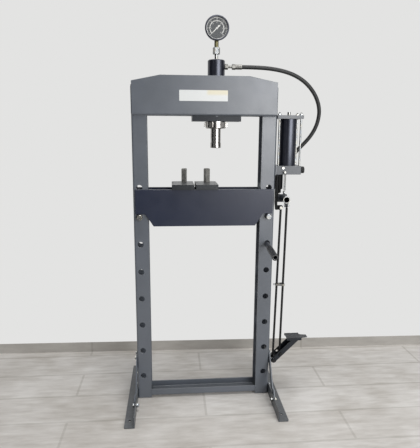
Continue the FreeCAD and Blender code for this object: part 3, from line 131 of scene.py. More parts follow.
def startFinish(name):
    made = bpy.data.materials.new(name)
    made.use_nodes = True
    tree = made.node_tree
    tree.nodes.clear()
    return made, tree, addNode(tree, "TexCoord").outputs["Object"]


def endFinish(tree, **values):
    names = {"colour": "Base Color", "roughness": "Roughness", "metallic": "Metallic", "normal": "Normal",
             "specular": "Specular IOR Level", "specularTint": "Specular Tint", "ior": "IOR",
             "alpha": "Alpha"}
    shader = addNode(tree, "BsdfPrincipled", {names[key]: value for key, value in values.items()})
    addNode(tree, "OutputMaterial", {"Surface": shader.outputs["BSDF"]})


# Patterns are given by the size of one feature in millimetres, the noise's detail, the stretch of its
# coordinates where the marks run one way, and its roughness.
def perMetre(millimetres):
    return 1000.0 / millimetres


def noise(tree, where, millimetres, detail=3.0, stretch=None, roughness=0.5):
    if stretch:
        where = addNode(tree, "Mapping", {"Vector": where, "Scale": stretch}).outputs["Vector"]
    return addNode(tree, "TexNoise", {"Vector": where, "Scale": perMetre(millimetres), "Detail": detail,
                                      "Roughness": roughness}).outputs["Fac"]


def latheLines(tree, where, millimetres, distortion):  # rings round the Z axis
    return addNode(tree, "TexWave", {"Vector": where, "Scale": perMetre(millimetres) / (2 * math.pi),
                                     "Distortion": distortion}, bands_direction="Z").outputs["Fac"]


def twoTones(tree, factor, first, second, low=0.35, high=0.65):
    ramp = addNode(tree, "ValToRGB", {"Fac": factor})
    ramp.color_ramp.elements[0].position, ramp.color_ramp.elements[1].position = low, high
    ramp.color_ramp.elements[0].color, ramp.color_ramp.elements[1].color = linear(first), linear(second)
    return ramp.outputs["Color"]


def mapRange(tree, value, fromLow, fromHigh, low, high):
    return addNode(tree, "MapRange", {"Value": value, "From Min": fromLow, "From Max": fromHigh,
                                      "To Min": low, "To Max": high}).outputs["Result"]


def spread(tree, factor, low, high):  # a noise factor, mostly 0.3 to 0.7, as a value from low to high
    return mapRange(tree, factor, 0.3, 0.7, low, high)


def mixColour(tree, factor, base, tone, **settings):
    return addNode(tree, "Mix", {"Factor": factor, "A": base, "B": tone}, data_type="RGBA",
                   **settings).outputs["Result"]


def combine(tree, operation, first, second, clamp=False):
    return addNode(tree, "Math", {0: first, 1: second}, operation=operation, use_clamp=clamp).outputs[0]


# studio: a planked floor and a low skirting that end at the wall line, a pale surround, one wide window to
# the right of the camera, and soft light from above and from the left
studio = {"surround": "#e3e3e2", "surroundStrength": 1.0, "sky": "#f4f5f7", "skyLevel": 0.28,
          "floorFront": -2.6, "floorSide": 7.0, "skirtingHeight": 0.058,
          "wallLeft": (-1.0, 0.460), "wallRight": (1.0, 0.4142)}
lamps = [
    {"name": "windowRight", "place": (2.05, -4.2, 1.66), "look": (0.05, 0.0, 1.3), "size": (3.0, 2.4),
     "power": 175.0, "shines": True},
    {"name": "windowLeft", "place": (-2.9, -2.6, 2.3), "look": (0.0, 0.0, 0.9), "size": (1.4, 2.0),
     "power": 12.0, "shines": False},
    {"name": "overhead", "place": (0.3, -0.4, 3.4), "look": (0.1, 0.0, 0.9), "size": (2.0, 1.6),
     "power": 50.0, "shines": True},
]
# the unlit end of the room behind the camera and at both sides, seen only in reflections
cards = [
    {"name": "roomLeft", "place": (-2.5, -0.5, 2.0), "size": (2.3, 5.4), "turn": 1.45, "tone": "#121212"},
    {"name": "roomRight", "place": (2.9, -0.25, 2.0), "size": (1.7, 5.4), "turn": -1.5, "tone": "#121212"},
    {"name": "roomBehind", "place": (-1.65, -4.9, 2.6), "size": (4.9, 6.4), "turn": 0.3, "tone": "#2c2b2a"},
    {"name": "roomCorner", "place": (-3.9, -3.6, 2.6), "size": (4.2, 6.4), "turn": 0.95, "tone": "#161616"},
]


def lightStudio():
    scene = bpy.context.scene
    scene.view_settings.view_transform = "Standard"
    world = bpy.data.worlds.new("studioRoom")
    world.use_nodes = True
    scene.world = world
    tree = world.node_tree
    tree.nodes.clear()
    # the camera, mirrors and glass see the surround, and everything else is lit by the softer sky
    path = addNode(tree, "LightPath")
    seen = combine(tree, "ADD", path.outputs["Is Camera Ray"], path.outputs["Is Glossy Ray"])
    shown = combine(tree, "ADD", seen, path.outputs["Is Transmission Ray"], clamp=True)
    sky = addNode(tree, "Background", {"Color": linear(studio["sky"]), "Strength": studio["skyLevel"]})
    wall = addNode(tree, "Background", {"Color": linear(studio["surround"]),
                                        "Strength": studio["surroundStrength"]})
    mix = addNode(tree, "MixShader", {0: shown, 1: sky.outputs[0], 2: wall.outputs[0]})
    addNode(tree, "OutputWorld", {"Surface": mix.outputs[0]})
    for lamp in lamps:
        data = bpy.data.lights.new(lamp["name"], "AREA")
        data.shape = "RECTANGLE"
        data.size, data.size_y = lamp["size"]
        data.energy = lamp["power"]
        away = np.array(lamp["place"]) - np.array(lamp["look"])
        away /= np.linalg.norm(away)
        side = np.cross((0, 0, 1), away)
        side /= np.linalg.norm(side)
        holder = placeObject(lamp["name"], data, lamp["place"], side, np.cross(away, side), away)
        holder.visible_glossy = lamp["shines"]


def standSheet(name, corners, finish):  # one flat four-cornered sheet of the stage
    mesh = bpy.data.meshes.new(name)
    mesh.from_pydata([tuple(corner) for corner in corners], [], [(0, 1, 2, 3)])
    mesh.materials.append(finish)
    holder = addObject(name, mesh)
    return holder


# stone-look planks laid lengthways across the room: grey-beige, clouded and streaked along their length
planks = {"floor": ("#e2dfdb", "#bfbab3"), "strip": ("#aaa7a2", "#96938e"), "joint": "#e9e8e6",
          "first": "#ffffff", "second": "#f7f6f5", "length": 1.2, "width": 0.20, "gap": 0.0025, "soften": 0.3,
          "streak": (30.0, 5.0, (0.22, 1.0, 1.0), 0.6), "cloud": (350.0,), "contrast": (0.74, 1.26),
          "roughness": 0.62, "ior": 1.45}


def finishPlanks(name, pale, deep):
    made, tree, where = startFinish(name)
    laid = addNode(tree, "TexBrick", {
        "Vector": where, "Color1": linear(planks["first"]), "Color2": linear(planks["second"]),
        "Mortar": linear(planks["joint"]), "Scale": 1.0, "Mortar Size": planks["gap"] / planks["width"] / 2,
        "Mortar Smooth": planks["soften"], "Brick Width": planks["length"], "Row Height": planks["width"]})
    both = combine(tree, "ADD", noise(tree, where, *planks["streak"]), noise(tree, where, *planks["cloud"]))
    tone = mapRange(tree, both, *planks["contrast"], 0.0, 1.0)
    stone = mixColour(tree, tone, linear(deep), linear(pale))
    planked = mixColour(tree, 1.0, stone, laid.outputs["Color"], blend_type="MULTIPLY")
    endFinish(tree, colour=planked, roughness=planks["roughness"], ior=planks["ior"])
    return made


def layFloor():
    side, front, high = studio["floorSide"], studio["floorFront"], studio["skirtingHeight"]
    (xa, ya), (xb, yb) = studio["wallLeft"], studio["wallRight"]
    slope = (yb - ya) / (xb - xa)
    left, right = ya + slope * (-side - xa), ya + slope * (side - xa)
    standSheet("plankFloor", [(-side, front, 0), (side, front, 0), (side, right, 0), (-side, left, 0)],
               finishPlanks("plankFloor", *planks["floor"]))
    standSheet("skirting", [(-side, left, 0), (side, right, 0), (side, right, high), (-side, left, high)],
               finishPlanks("skirting", *planks["strip"]))


# a card of the dark room: matt, with no shine of its own
def finishCard(tone):
    made, tree, _ = startFinish("roomCard")
    endFinish(tree, colour=linear(tone), roughness=1.0, specular=0.0)
    return made


def standCards():
    for card in cards:
        wide, high = card["size"][0] / 2, card["size"][1] / 2
        across = np.array([math.cos(card["turn"]), math.sin(card["turn"]), 0.0]) * wide
        up = np.array([0.0, 0.0, high])
        middle = np.array(card["place"])
        corners = [middle - across - up, middle + across - up, middle + across + up, middle - across + up]
        holder = standSheet(card["name"], corners, finishCard(card["tone"]))
        holder.visible_camera = holder.visible_diffuse = holder.visible_shadow = False
        holder.visible_transmission = False


lightStudio()
layFloor()
standCards()
print("studio lit")


def reliefNormal(tree, height, strength, depth, edge):  # softened edges, then the surface's own relief
    inputs = {"Height": height, "Strength": strength, "Distance": depth}
    if edge:
        inputs["Normal"] = addNode(tree, "Bevel", {"Radius": edge}, samples=4).outputs["Normal"]
    return addNode(tree, "Bump", inputs).outputs["Normal"]


def dustOver(tree, where, colour, dust):  # dust lies on what faces up, broken by small marks
    facing = addNode(tree, "NewGeometry")
    up = addNode(tree, "SeparateXYZ", {0: facing.outputs["Normal"]})
    lying = mapRange(tree, up.outputs["Z"], *dust["facing"], 0.0, dust["most"])
    speck = spread(tree, noise(tree, where, *dust["mark"]), *dust["specks"])
    return mixColour(tree, combine(tree, "MULTIPLY", lying, speck), colour, linear(dust["tone"]))


# In a finish's settings, tones are its two colours and cloud the pattern between them, wear is the pattern
# of the roughness from low to high, relief is the pattern, strength and depth of its bumps, edge is the
# radius that edges are softened by, rub is what shows through, and shader holds plain values.
def makeFinish(settings):
    made, tree, where = startFinish(settings["name"])
    tones = noise(tree, where, *settings["cloud"])
    colour = twoTones(tree, tones, *settings["tones"], *settings.get("contrast", ()))
    if "rub" in settings:
        rub = settings["rub"]
        worn = mapRange(tree, noise(tree, where, *rub["pattern"]), *rub["from"], 0.0, rub["most"])
        colour = mixColour(tree, worn, colour, linear(rub["tone"]))
    if "dust" in settings:
        colour = dustOver(tree, where, colour, settings["dust"])
    rough = settings["roughness"]
    if "wear" in settings:
        rough = spread(tree, noise(tree, where, *settings["wear"]), *rough)
    if "lines" in settings:
        height = latheLines(tree, where, *settings["lines"])
    else:
        height = noise(tree, where, *settings["relief"])
    normal = reliefNormal(tree, height, *settings["depth"], settings.get("edge"))
    endFinish(tree, colour=colour, roughness=rough, normal=normal, **settings.get("shader", {}))
    return made


# polyester powder coat on rolled steel plate: satin, faint orange peel, hand marks, dust on what faces up
powderCoat = {"cloud": (140.0,), "wear": (55.0, 4.0), "roughness": (0.31, 0.37), "relief": (1.6, 2.0),
              "depth": (0.16, 0.0004), "edge": 0.0012}
coatDust = {"tone": "#8a8b8c", "facing": (0.6, 1.0), "most": 0.30, "mark": (9.0, 6.0), "specks": (0.2, 1.0)}
# its colours: the frame, the smoother and bluer bed plates, the dark loose fittings with painted shade for
# the sliding plate under the head, the black bracket and barrel, the darker feet, the oiled press blocks with
# more dust on them, and the grey pump
paintTones = {
    "frame": {"name": "satinPowderCoat", "tones": ("#51565d", "#575c64"), "shine": 0.75},
    "bed": {"name": "slatePowderCoat", "tones": ("#1a2032", "#1f2537"), "shine": 0.45},
    # dark fittings paint, partly painted shade: its dark tone also stands for the shade under the head on the
    # sliding plate
    "fittings": {"name": "darkCoatWithPaintedShade", "tones": ("#23262b", "#2b2e33"), "shine": 0.2},
    "black": {"name": "blackPowderCoat", "tones": ("#08090b", "#0d0e10"), "shine": 0.1},
    # the feet are given a darker tone than the frame
    "feet": {"name": "darkerFeetPowderCoat", "tones": ("#42464b", "#4a4e52"), "shine": 0.5},
    "block": {"name": "oiledBlackPlate", "tones": ("#11151b", "#1a1f25"), "shine": 0.5, "dusty": 0.5},
    "pump": {"name": "greyPowderCoat", "tones": ("#3d4147", "#45494f"), "shine": 0.5},
}


def finishPowderCoat(tone):
    dust = {**coatDust, "most": tone.get("dusty", coatDust["most"])}
    return makeFinish({**powderCoat, "name": tone["name"], "tones": tone["tones"], "dust": dust,
                       "shader": {"specular": tone["shine"]}})


# gloss black enamel sprayed on drawn tube: deep, smooth, a soft broad highlight with faint streaks
blackEnamel = {"name": "glossBlackEnamel", "tones": ("#090a12", "#0f111b"), "cloud": (30.0,),
               "wear": (12.0, 4.0), "roughness": (0.32, 0.36), "relief": (5.0, 2.0), "depth": (0.04, 0.0004),
               "edge": 0.0006, "shader": {"specular": 1.0, "specularTint": linear("#dce1f2")}}

# hot black oxide on turned and flat steel: blue-black, oily satin, brown where handled
blackOxide = {"name": "oiledBlackOxide", "tones": ("#0c0d0f", "#17181a"), "cloud": (18.0, 5.0),
              "rub": {"pattern": (4.0, 8.0), "from": (0.60, 0.75), "most": 0.6, "tone": "#33322f"},
              "wear": (25.0,), "roughness": (0.42, 0.55), "relief": (0.9,), "depth": (0.1, 0.0002),
              "edge": 0.0005, "shader": {"metallic": 0.35}}

# bright zinc plate, clear passivated: silvery with a breath of blue and straw, fine crystal grain
zincPlate = {"name": "clearZincPlate", "tones": ("#8f949a", "#a3a097"), "cloud": (14.0, 4.0),
             "wear": (3.0, 6.0), "roughness": (0.24, 0.40), "relief": (0.8,), "depth": (0.12, 0.0001),
             "edge": 0.0004, "shader": {"metallic": 1.0}}

# turned brass, lightly tarnished, for the gauge stem: olive gold with lathe lines round it
turnedBrass = {"name": "turnedBrass", "tones": ("#4a4834", "#757056"), "cloud": (7.0, 5.0),
               "wear": (4.0,), "roughness": (0.34, 0.48), "lines": (0.7, 0.4), "depth": (0.1, 0.0001),
               "edge": 0.0004, "shader": {"metallic": 1.0}}

# ground and hard chromed steel of the ram and its nut: a soft mirror with broad dull patches
groundChrome = {"name": "groundChrome", "tones": ("#989592", "#b2b0ad"), "cloud": (22.0,),
                "wear": (9.0, 4.0), "roughness": (0.20, 0.27), "relief": (25.0, 2.0), "depth": (0.02, 0.0001),
                "edge": 0.0007, "shader": {"metallic": 1.0}}

# moulded nitrile of the handle grip: satin black, faint mould grain and grey bloom
gripRubber = {"name": "mouldedNitrile", "tones": ("#131419", "#26272d"), "cloud": (11.0, 5.0),
              "contrast": (0.4, 0.8), "wear": (6.0,), "roughness": (0.36, 0.46), "relief": (0.9,),
              "depth": (0.25, 0.0002)}

# painted tube of the loose pump handle: satin dark grey, rubbed to steel in short lengthwise marks
paintedTube = {"name": "rubbedPaintedTube", "tones": ("#35383e", "#3f4248"), "cloud": (40.0,),
               "rub": {"pattern": (2.5, 5.0, (1.0, 0.12, 1.0)), "from": (0.62, 0.72), "most": 0.7,
                       "tone": "#8d8f92"},
               "wear": (20.0,), "roughness": (0.34, 0.44), "relief": (1.6,), "depth": (0.1, 0.0003),
               "edge": 0.0004, "shader": {"metallic": 0.1}}

# anodised aluminium dial, screen printed: near black with a fine brushed grain
brushed = (0.8, 4.0, (0.08, 1.0, 1.0))
dialPlate = {"name": "blackAnodisedDial", "tones": ("#202124", "#2a2c2f"), "cloud": brushed,
             "roughness": 0.55, "relief": brushed, "depth": (0.08, 0.0001), "shader": {"specular": 0.25}}

# white screen-print ink and the pointer's white enamel: flat, slightly warm, faintly uneven
whiteInk = {"name": "whiteEnamelInk", "tones": ("#d9d8d2", "#eeede8"), "cloud": (5.0,),
            "roughness": 0.45, "relief": (0.7,), "depth": (0.05, 0.0001)}

# posts of the press blocks: sawn bright bar, dulled by oil, with marks along its length
sawn = (0.9, 4.0, (1.0, 1.0, 0.06))
bareBar = {"name": "dulledBrightBar", "tones": ("#6c6b68", "#8b8a86"), "cloud": (12.0, 4.0),
           "wear": sawn, "roughness": (0.38, 0.50), "relief": sawn, "depth": (0.15, 0.0002),
           "edge": 0.0006, "shader": {"metallic": 0.75}}

# wrapped rubber cover of a high pressure hose: satin black with the cloth's diagonal print, from the
# piece's own UV
hoseCover = {"tones": ("#121314", "#1c1d1e"), "cloud": (25.0, 4.0), "cloth": 1.6, "clothTurn": 0.9,
             "distortion": 0.3, "wear": (8.0,), "roughness": (0.5, 0.6), "depth": (0.25, 0.0003)}


def finishHoseCover():
    made, tree, where = startFinish("wrappedHoseRubber")
    own = addNode(tree, "UVMap", uv_map="along")
    turned = addNode(tree, "Mapping", {"Vector": own.outputs["UV"],
                                       "Rotation": (0.0, 0.0, hoseCover["clothTurn"])})
    cloth = addNode(tree, "TexWave", {
        "Vector": turned.outputs["Vector"], "Scale": perMetre(hoseCover["cloth"]) / (2 * math.pi),
        "Distortion": hoseCover["distortion"]})
    colour = twoTones(tree, noise(tree, where, *hoseCover["cloud"]), *hoseCover["tones"])
    rough = spread(tree, noise(tree, where, *hoseCover["wear"]), *hoseCover["roughness"])
    endFinish(tree, colour=colour, roughness=rough,
              normal=reliefNormal(tree, cloth.outputs["Fac"], *hoseCover["depth"], None))
    return made


# clear acrylic window of the gauge: almost unseen but for its shine, with a few wiping marks
clearWindow = {"tint": "#e9eef0", "alpha": 0.05, "ior": 1.49, "wear": (16.0, 6.0), "roughness": (0.05, 0.12)}


def finishClearWindow():
    made, tree, where = startFinish("clearAcrylicWindow")
    wipe = spread(tree, noise(tree, where, *clearWindow["wear"]), *clearWindow["roughness"])
    endFinish(tree, colour=linear(clearWindow["tint"]), roughness=wipe, ior=clearWindow["ior"],
              alpha=clearWindow["alpha"])
    return made


# the record's slots, then the finishes of parts that differ in the photograph from the rest of their slot
finishes = {
    "frame_paint": finishPowderCoat(paintTones["frame"]), "gloss_black": makeFinish(blackEnamel),
    "black_oxide": makeFinish(blackOxide), "zinc": makeFinish(zincPlate),
    "bright_steel": makeFinish(groundChrome), "hose_rubber": finishHoseCover(),
    "grip_rubber": makeFinish(gripRubber), "handle_steel": makeFinish(paintedTube),
    "dial_black": makeFinish(dialPlate), "needle_white": makeFinish(whiteInk),
    "clear_glass": finishClearWindow(),
}
ownFinishes = {tone: finishPowderCoat(paintTones[tone])
               for tone in ("bed", "fittings", "pump", "black", "block", "feet")}
ownFinishes["bareBar"] = makeFinish(bareBar)
ownFinishes["brass"] = makeFinish(turnedBrass)
ownFinishes["oxide"] = finishes["black_oxide"]
ownParts = {
    "bed": ("bed_plate_front", "bed_plate_rear"),
    "fittings": ("carriage_slab", "saddle_plate", "pump_lever", "pedal_arm", "pedal_tread"),
    "pump": ("pump_block", "pump_top_plate"),
    "black": ("lever_bracket", "pump_barrel"),
    "block": ("press_block_left", "press_block_right"),
    "feet": ("foot_left", "foot_right"),
    "bareBar": ("press_post_left", "press_post_right", "cylinder_fitting"),
    "oxide": ("pedal_pivot_bolt",),
}


def finishNodes():
    own = {part: ownFinishes[finish] for finish, parts in ownParts.items() for part in parts}
    for part in frame["record"]["subparts"]:
        materials = nodes[part["node"]].data.materials
        materials.clear()
        materials.append(own.get(part["node"], finishes[part["material_slot"]]))


finishNodes()
print("frame parts finished,", len(bpy.data.materials), "materials in the file")


def gridFaces(rows, columns, closeColumns=True):
    # Every face joins a point to its neighbours in the next column and the next row.
    r = np.arange(rows - 1)[:, None]
    c = np.arange(columns if closeColumns else columns - 1)[None, :]
    cNext = (c + 1) % columns
    row, rowNext = r * columns, (r + 1) * columns
    return np.stack([row + c, row + cNext, rowNext + cNext, rowNext + c], -1).reshape(-1, 4)


def joinSurfaces(surfaces):
    # Surfaces are (points, faces) pairs; the faces of each one are counted on from the points before it.
    points, faces, start = [], [], 0
    for at, corners in surfaces:
        points.append(at.reshape(-1, 3))
        faces.append(corners + start)
        start += points[-1].shape[0]
    return np.concatenate(points), np.concatenate(faces)


# points within weld of each other are joined, and faces thinner than sliver are taken out
mending = {"weld": 1e-6, "sliver": 1e-7}


# body is what the piece rides on, stands are the nodes it stands for, and faces that meet at more than
# smooth degrees keep a sharp edge.
def makePiece(name, surfaces, slotName, body, stands=(), smooth=30.0, weld=True, finish=None):
    points, faces = joinSurfaces(surfaces)
    mesh = bpy.data.meshes.new(name)
    mesh.from_pydata(points.tolist(), [], faces.tolist())
    if weld:  # poles and seams are closed, then every face is turned outwards
        work = bmesh.new()
        work.from_mesh(mesh)
        bmesh.ops.remove_doubles(work, verts=work.verts, dist=mending["weld"])
        bmesh.ops.dissolve_degenerate(work, edges=work.edges, dist=mending["sliver"])
        bmesh.ops.recalc_face_normals(work, faces=work.faces)
        work.to_mesh(mesh)
        work.free()
    mesh.polygons.foreach_set("use_smooth", np.ones(len(mesh.polygons), bool))
    mesh.set_sharp_from_angle(angle=math.radians(smooth))
    mesh.materials.append(finish or finishes[slotName])
    piece = addObject(name, mesh)
    if body:
        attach(piece, body)
    if stands:
        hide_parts(*stands)
    return piece


def axes(direction):  # a unit vector along a direction, and two at right angles to it
    along = np.array(direction, float) / np.linalg.norm(direction)
    # the helper is Z, or X where the direction is itself nearly upright
    helper = np.array([0.0, 0.0, 1.0]) if abs(along[2]) < 0.9 else np.array([1.0, 0.0, 0.0])
    first = np.cross(helper, along)
    first /= np.linalg.norm(first)
    return along, first, np.cross(along, first)


def around(angle, first, second):  # points of a unit circle, given by its angles and its two directions
    return np.cos(angle)[..., None] * first + np.sin(angle)[..., None] * second


upward, frontward = (0.0, 0.0, 1.0), (0.0, -1.0, 0.0)  # the press's front faces -Y


def turnedSurface(profile, centre, direction, steps=96, edge=None):
    # A profile of (radius, distance along) carried round an axis: centre + distance x axis
    # + radius x (cos angle x first + sin angle x second). edge may change a radius by its angle and its
    # distance along.
    profile = np.array(profile, float)
    along, first, second = axes(direction)
    angle = np.linspace(0.0, 2.0 * math.pi, steps, endpoint=False)
    radius = np.repeat(profile[:, :1], steps, axis=1)
    if edge is not None:
        radius = edge(angle[None, :], radius, profile[:, 1:2])
    points = np.array(centre, float) + profile[:, 1][:, None, None] * along
    return points + radius[:, :, None] * around(angle, first, second), gridFaces(len(profile), steps)


def cappedTube(rows):  # rings of points with a centre point that closes each end
    ends = [np.repeat(rows[k].mean(0)[None, None], rows.shape[1], axis=1) for k in (0, -1)]
    return np.concatenate([ends[0], rows, ends[1]]), gridFaces(len(rows) + 2, rows.shape[1])


def sweptTube(path, radius, sides, outward):
    # Rings of points at right angles to the path; outward, made square to the path, is each ring's
    # first direction.
    path = np.array(path, float)
    radius = np.broadcast_to(np.asarray(radius, float), (len(path),))
    tangent = np.gradient(path, axis=0)
    tangent /= np.linalg.norm(tangent, axis=1, keepdims=True)
    outward = np.broadcast_to(np.asarray(outward, float), path.shape)
    side = outward - (outward * tangent).sum(1, keepdims=True) * tangent
    side /= np.linalg.norm(side, axis=1, keepdims=True)
    other = np.cross(tangent, side)
    angle = np.linspace(0.0, 2.0 * math.pi, sides, endpoint=False)
    return cappedTube(path[:, None] + radius[:, None, None] * around(angle, side[:, None], other[:, None]))


def flatPlate(outline, back, front):  # a closed outline in X and Z as a plate from back to front in Y
    middle = outline.mean(0)
    rings = []
    for share, y in ((0.0, back), (1.0, back), (1.0, front), (0.0, front)):
        ring = middle + (outline - middle) * share
        rings.append(np.stack([ring[:, 0], np.full(len(ring), y), ring[:, 1]], 1))
    return np.stack(rings), gridFaces(len(rings), len(outline))


def barProfile(radius, length):
    return [(0.0, 0.0), (radius, 0.0), (radius, length), (0.0, length)]


def rounded(profile, radius, steps=4):
    # Each inner corner of a profile is replaced by an arc drawn as a quadratic curve through
    # two points at most radius away from the corner.
    profile = np.array(profile, float)
    share = np.linspace(0.0, 1.0, steps)[:, None]
    rows = [profile[:1]]
    for before, corner, after in zip(profile, profile[1:], profile[2:]):
        back, ahead = before - corner, after - corner
        start = corner + back * min(0.5, radius / np.linalg.norm(back))
        end = corner + ahead * min(0.5, radius / np.linalg.norm(ahead))
        rows.append((1 - share) ** 2 * start + 2 * share * (1 - share) * corner + share ** 2 * end)
    rows.append(profile[-1:])
    return np.concatenate(rows)


def flatEdge(acrossFlats, sides):  # the smaller of a turned radius and the distance to the nearest flat
    half = math.pi / sides

    def edge(angle, radius, _):
        nearest = np.abs((angle + half) % (2 * half) - half)
        return np.minimum(radius, acrossFlats / 2 / np.cos(nearest))
    return edge


# screws: a hexagon's corners are turned off at 30 degrees down to a round face, a thread is cut to about
# half its pitch, and the washer is sunk a little into the head
screw = {"face": 0.96, "slope": math.radians(30), "chamferRows": 6, "hexagonSteps": 48, "threadDepth": 0.5196,
         "threadSize": 0.96, "leadIn": (0.1, 0.8), "barSteps": 24, "washerSteps": 40, "washerRound": 0.0003,
         "washerShown": 0.9}


def hexagonBlock(start, direction, acrossFlats, height, chamferStart=True):
    face, corner = acrossFlats / 2 * screw["face"], acrossFlats / 2 / math.cos(math.pi / 6)
    slope = (corner - face) * math.tan(screw["slope"])
    turned = [(face + (corner - face) * s, slope * s) for s in np.linspace(0.0, 1.0, screw["chamferRows"])]
    rows = [(0.0, 0.0)] + (turned if chamferStart else [(corner, 0.0)])
    rows += [(radius, height - at) for radius, at in reversed(turned)] + [(0.0, height)]
    return turnedSurface(rows, start, direction, screw["hexagonSteps"], flatEdge(acrossFlats, 6))


def threadedEnd(start, direction, diameter, length, pitch):
    # A screw end: a shaft whose radius falls and rises once in each pitch, with a short lead-in.
    radius = diameter * screw["threadSize"] / 2
    rows = [(0.0, 0.0)]
    count = max(2, int(length / pitch))
    for k in range(count):
        rows += [(radius, k * pitch), (radius - screw["threadDepth"] * pitch, (k + 0.5) * pitch)]
    first, last = screw["leadIn"]
    rows += [(radius - first * pitch, count * pitch), (radius - last * pitch, length), (0.0, length)]
    return turnedSurface(rows, start, direction, screw["barSteps"])


def screwSet(start, direction, grip, sizes):
    # Washer, chamfered head, shank, chamfered nut and threaded end, in one line from the head to the nut.
    start, along = np.array(start, float), np.array(direction, float)
    shown = sizes["washer"] * screw["washerShown"]
    ring = rounded(barProfile(sizes["washerRadius"], sizes["washer"]), screw["washerRound"])
    return [
        turnedSurface(ring, start, -along, screw["washerSteps"]),
        hexagonBlock(start - along * shown, -along, sizes["flats"], sizes["head"] - shown, False),
        turnedSurface(barProfile(sizes["diameter"] / 2, grip), start, along, screw["barSteps"]),
        hexagonBlock(start + along * grip, along, sizes["flats"], sizes["nut"]),
        threadedEnd(start + along * (grip + sizes["nut"]), along, sizes["diameter"], sizes["tail"],
                    sizes["pitch"]),
    ]


def evaluatedMesh(curve):  # the points and triangles that Blender makes of a curve or a text
    holder = addObject("evaluated", curve)
    bpy.context.view_layer.update()
    mesh = bpy.data.meshes.new_from_object(holder.evaluated_get(bpy.context.evaluated_depsgraph_get()))
    mesh.calc_loop_triangles()
    points = np.empty(len(mesh.vertices) * 3)
    mesh.vertices.foreach_get("co", points)
    corners = np.empty(len(mesh.loop_triangles) * 3, np.int32)
    mesh.loop_triangles.foreach_get("vertices", corners)
    for stock, made in ((bpy.data.objects, holder), (bpy.data.meshes, mesh), (bpy.data.curves, curve)):
        stock.remove(made)
    return points.reshape(-1, 3), corners.reshape(-1, 3)


print("surface helpers ready")


# hose: one tube from the cylinder's fitting to the pump's elbow
hose = {"diameter": 0.017, "length": 0.674, "sides": 40, "density": 14, "start": (0.157, 0.0, 1.4965),
        "bends": [(0.221, 0.0, 1.4965), (0.291, 0.004, 1.4926), (0.3537, 0.009, 1.4813),
                  (0.4026, 0.013, 1.4635), (0.445, 0.018, 1.437), (0.4797, 0.023, 1.401),
                  (0.5027, 0.028, 1.3612), (0.5136, 0.034, 1.3206), (0.5114, 0.040, 1.2787),
                  (0.4997, 0.046, 1.2404), (0.4797, 0.052, 1.2058), (0.454, 0.058, 1.1751)],
        "lastBend": (0.428259, 0.062, 1.149529), "end": (0.406096, 0.062, 1.121161)}


def smoothLine(points):  # the points' own NURBS line, read back as an array
    curve = bpy.data.curves.new("line", "CURVE")
    curve.dimensions = "3D"
    curve.resolution_u = hose["density"]
    spline = curve.splines.new("NURBS")
    spline.points.add(len(points) - 1)
    spline.points.foreach_set("co", np.c_[np.array(points, float), np.ones(len(points))].ravel())
    spline.order_u = 3
    spline.use_endpoint_u = True
    return evaluatedMesh(curve)[0]


def makeHose():
    line = smoothLine([hose["start"], *hose["bends"], hose["lastBend"], hose["end"]])
    surface = sweptTube(line, hose["diameter"] / 2, hose["sides"], (0.0, 1.0, 0.0))
    piece = makePiece("hoseTube", [surface], "hose_rubber", None, smooth=35.0, weld=False)
    # UV: round the tube and along it, both in metres so that the cloth print keeps its size
    rows, sides = len(line) + 2, hose["sides"]
    along = np.concatenate([[0.0], np.cumsum(np.linalg.norm(np.diff(line, axis=0), axis=1))])
    along = np.concatenate([along[:1], along, along[-1:]])
    r, c = np.divmod(np.arange((rows - 1) * sides), sides)
    width = math.pi * hose["diameter"] / sides
    corners = np.stack([np.stack([(c + across) * width, along[r + ahead]], 1)
                        for across, ahead in ((0, 0), (1, 0), (1, 1), (0, 1))], 1)
    piece.data.uv_layers.new(name="along").data.foreach_set("uv", corners.ravel())
    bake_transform(piece)
    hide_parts("hose")


makeHose()
print("hose made")


# return spring of the pump lever
spring = {"place": (0.347, -0.054), "low": 0.972, "high": 1.058, "eye": 0.0036, "leg": 0.0035,
          "radius": 0.0045, "wire": 0.0018, "turns": 19, "perTurn": 36, "sides": 12,
          "easeSteps": 12, "eyeFrom": math.radians(120), "eyeTo": math.radians(450), "eyeSteps": 44}


def makeSpring():
    # Eye: a circle in the XZ plane. Coil: centre + radius x (cos, sin) round Z, rising evenly.
    # Between them the wire moves over from one to the other on a smooth step.
    x, y = spring["place"]
    eye, leg, radius = spring["eye"], spring["leg"], spring["radius"]
    low, high = spring["low"] + eye + leg, spring["high"] - eye - leg
    ease = np.linspace(0.0, 1.0, spring["easeSteps"])[1:-1, None]
    ease = ease * ease * (3 - 2 * ease)
    turn = np.linspace(0.0, 2 * math.pi * spring["turns"], spring["turns"] * spring["perTurn"] + 1)
    coilOut = np.stack([np.cos(turn), np.sin(turn), np.zeros_like(turn)], 1)
    coil = np.array([x, y, low]) + coilOut * radius
    coil[:, 2] += (high - low) * turn / turn[-1]

    def eyeLoop(z, upper):
        angle = np.linspace(spring["eyeFrom"], spring["eyeTo"], spring["eyeSteps"])
        out = np.stack([-np.cos(angle), np.zeros_like(angle), np.sin(angle) * (-1 if upper else 1)], 1)
        return np.array([x, y, z]) + out * eye, out

    def joined(first, middle, last):
        return np.concatenate([first, first[-1] + (middle[0] - first[-1]) * ease, middle,
                               middle[-1] + (last[0] - middle[-1]) * ease, last])

    lowEye, lowOut = eyeLoop(spring["low"], False)
    highEye, highOut = eyeLoop(spring["high"], True)
    path = joined(lowEye, coil, highEye[::-1])
    out = joined(lowOut, coilOut, highOut[::-1])
    wire = sweptTube(path, spring["wire"] / 2, spring["sides"], out)
    piece = makePiece("returnSpring", [wire], "zinc", None, smooth=35.0)
    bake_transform(piece)
    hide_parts("return_spring")


makeSpring()
print("spring made")


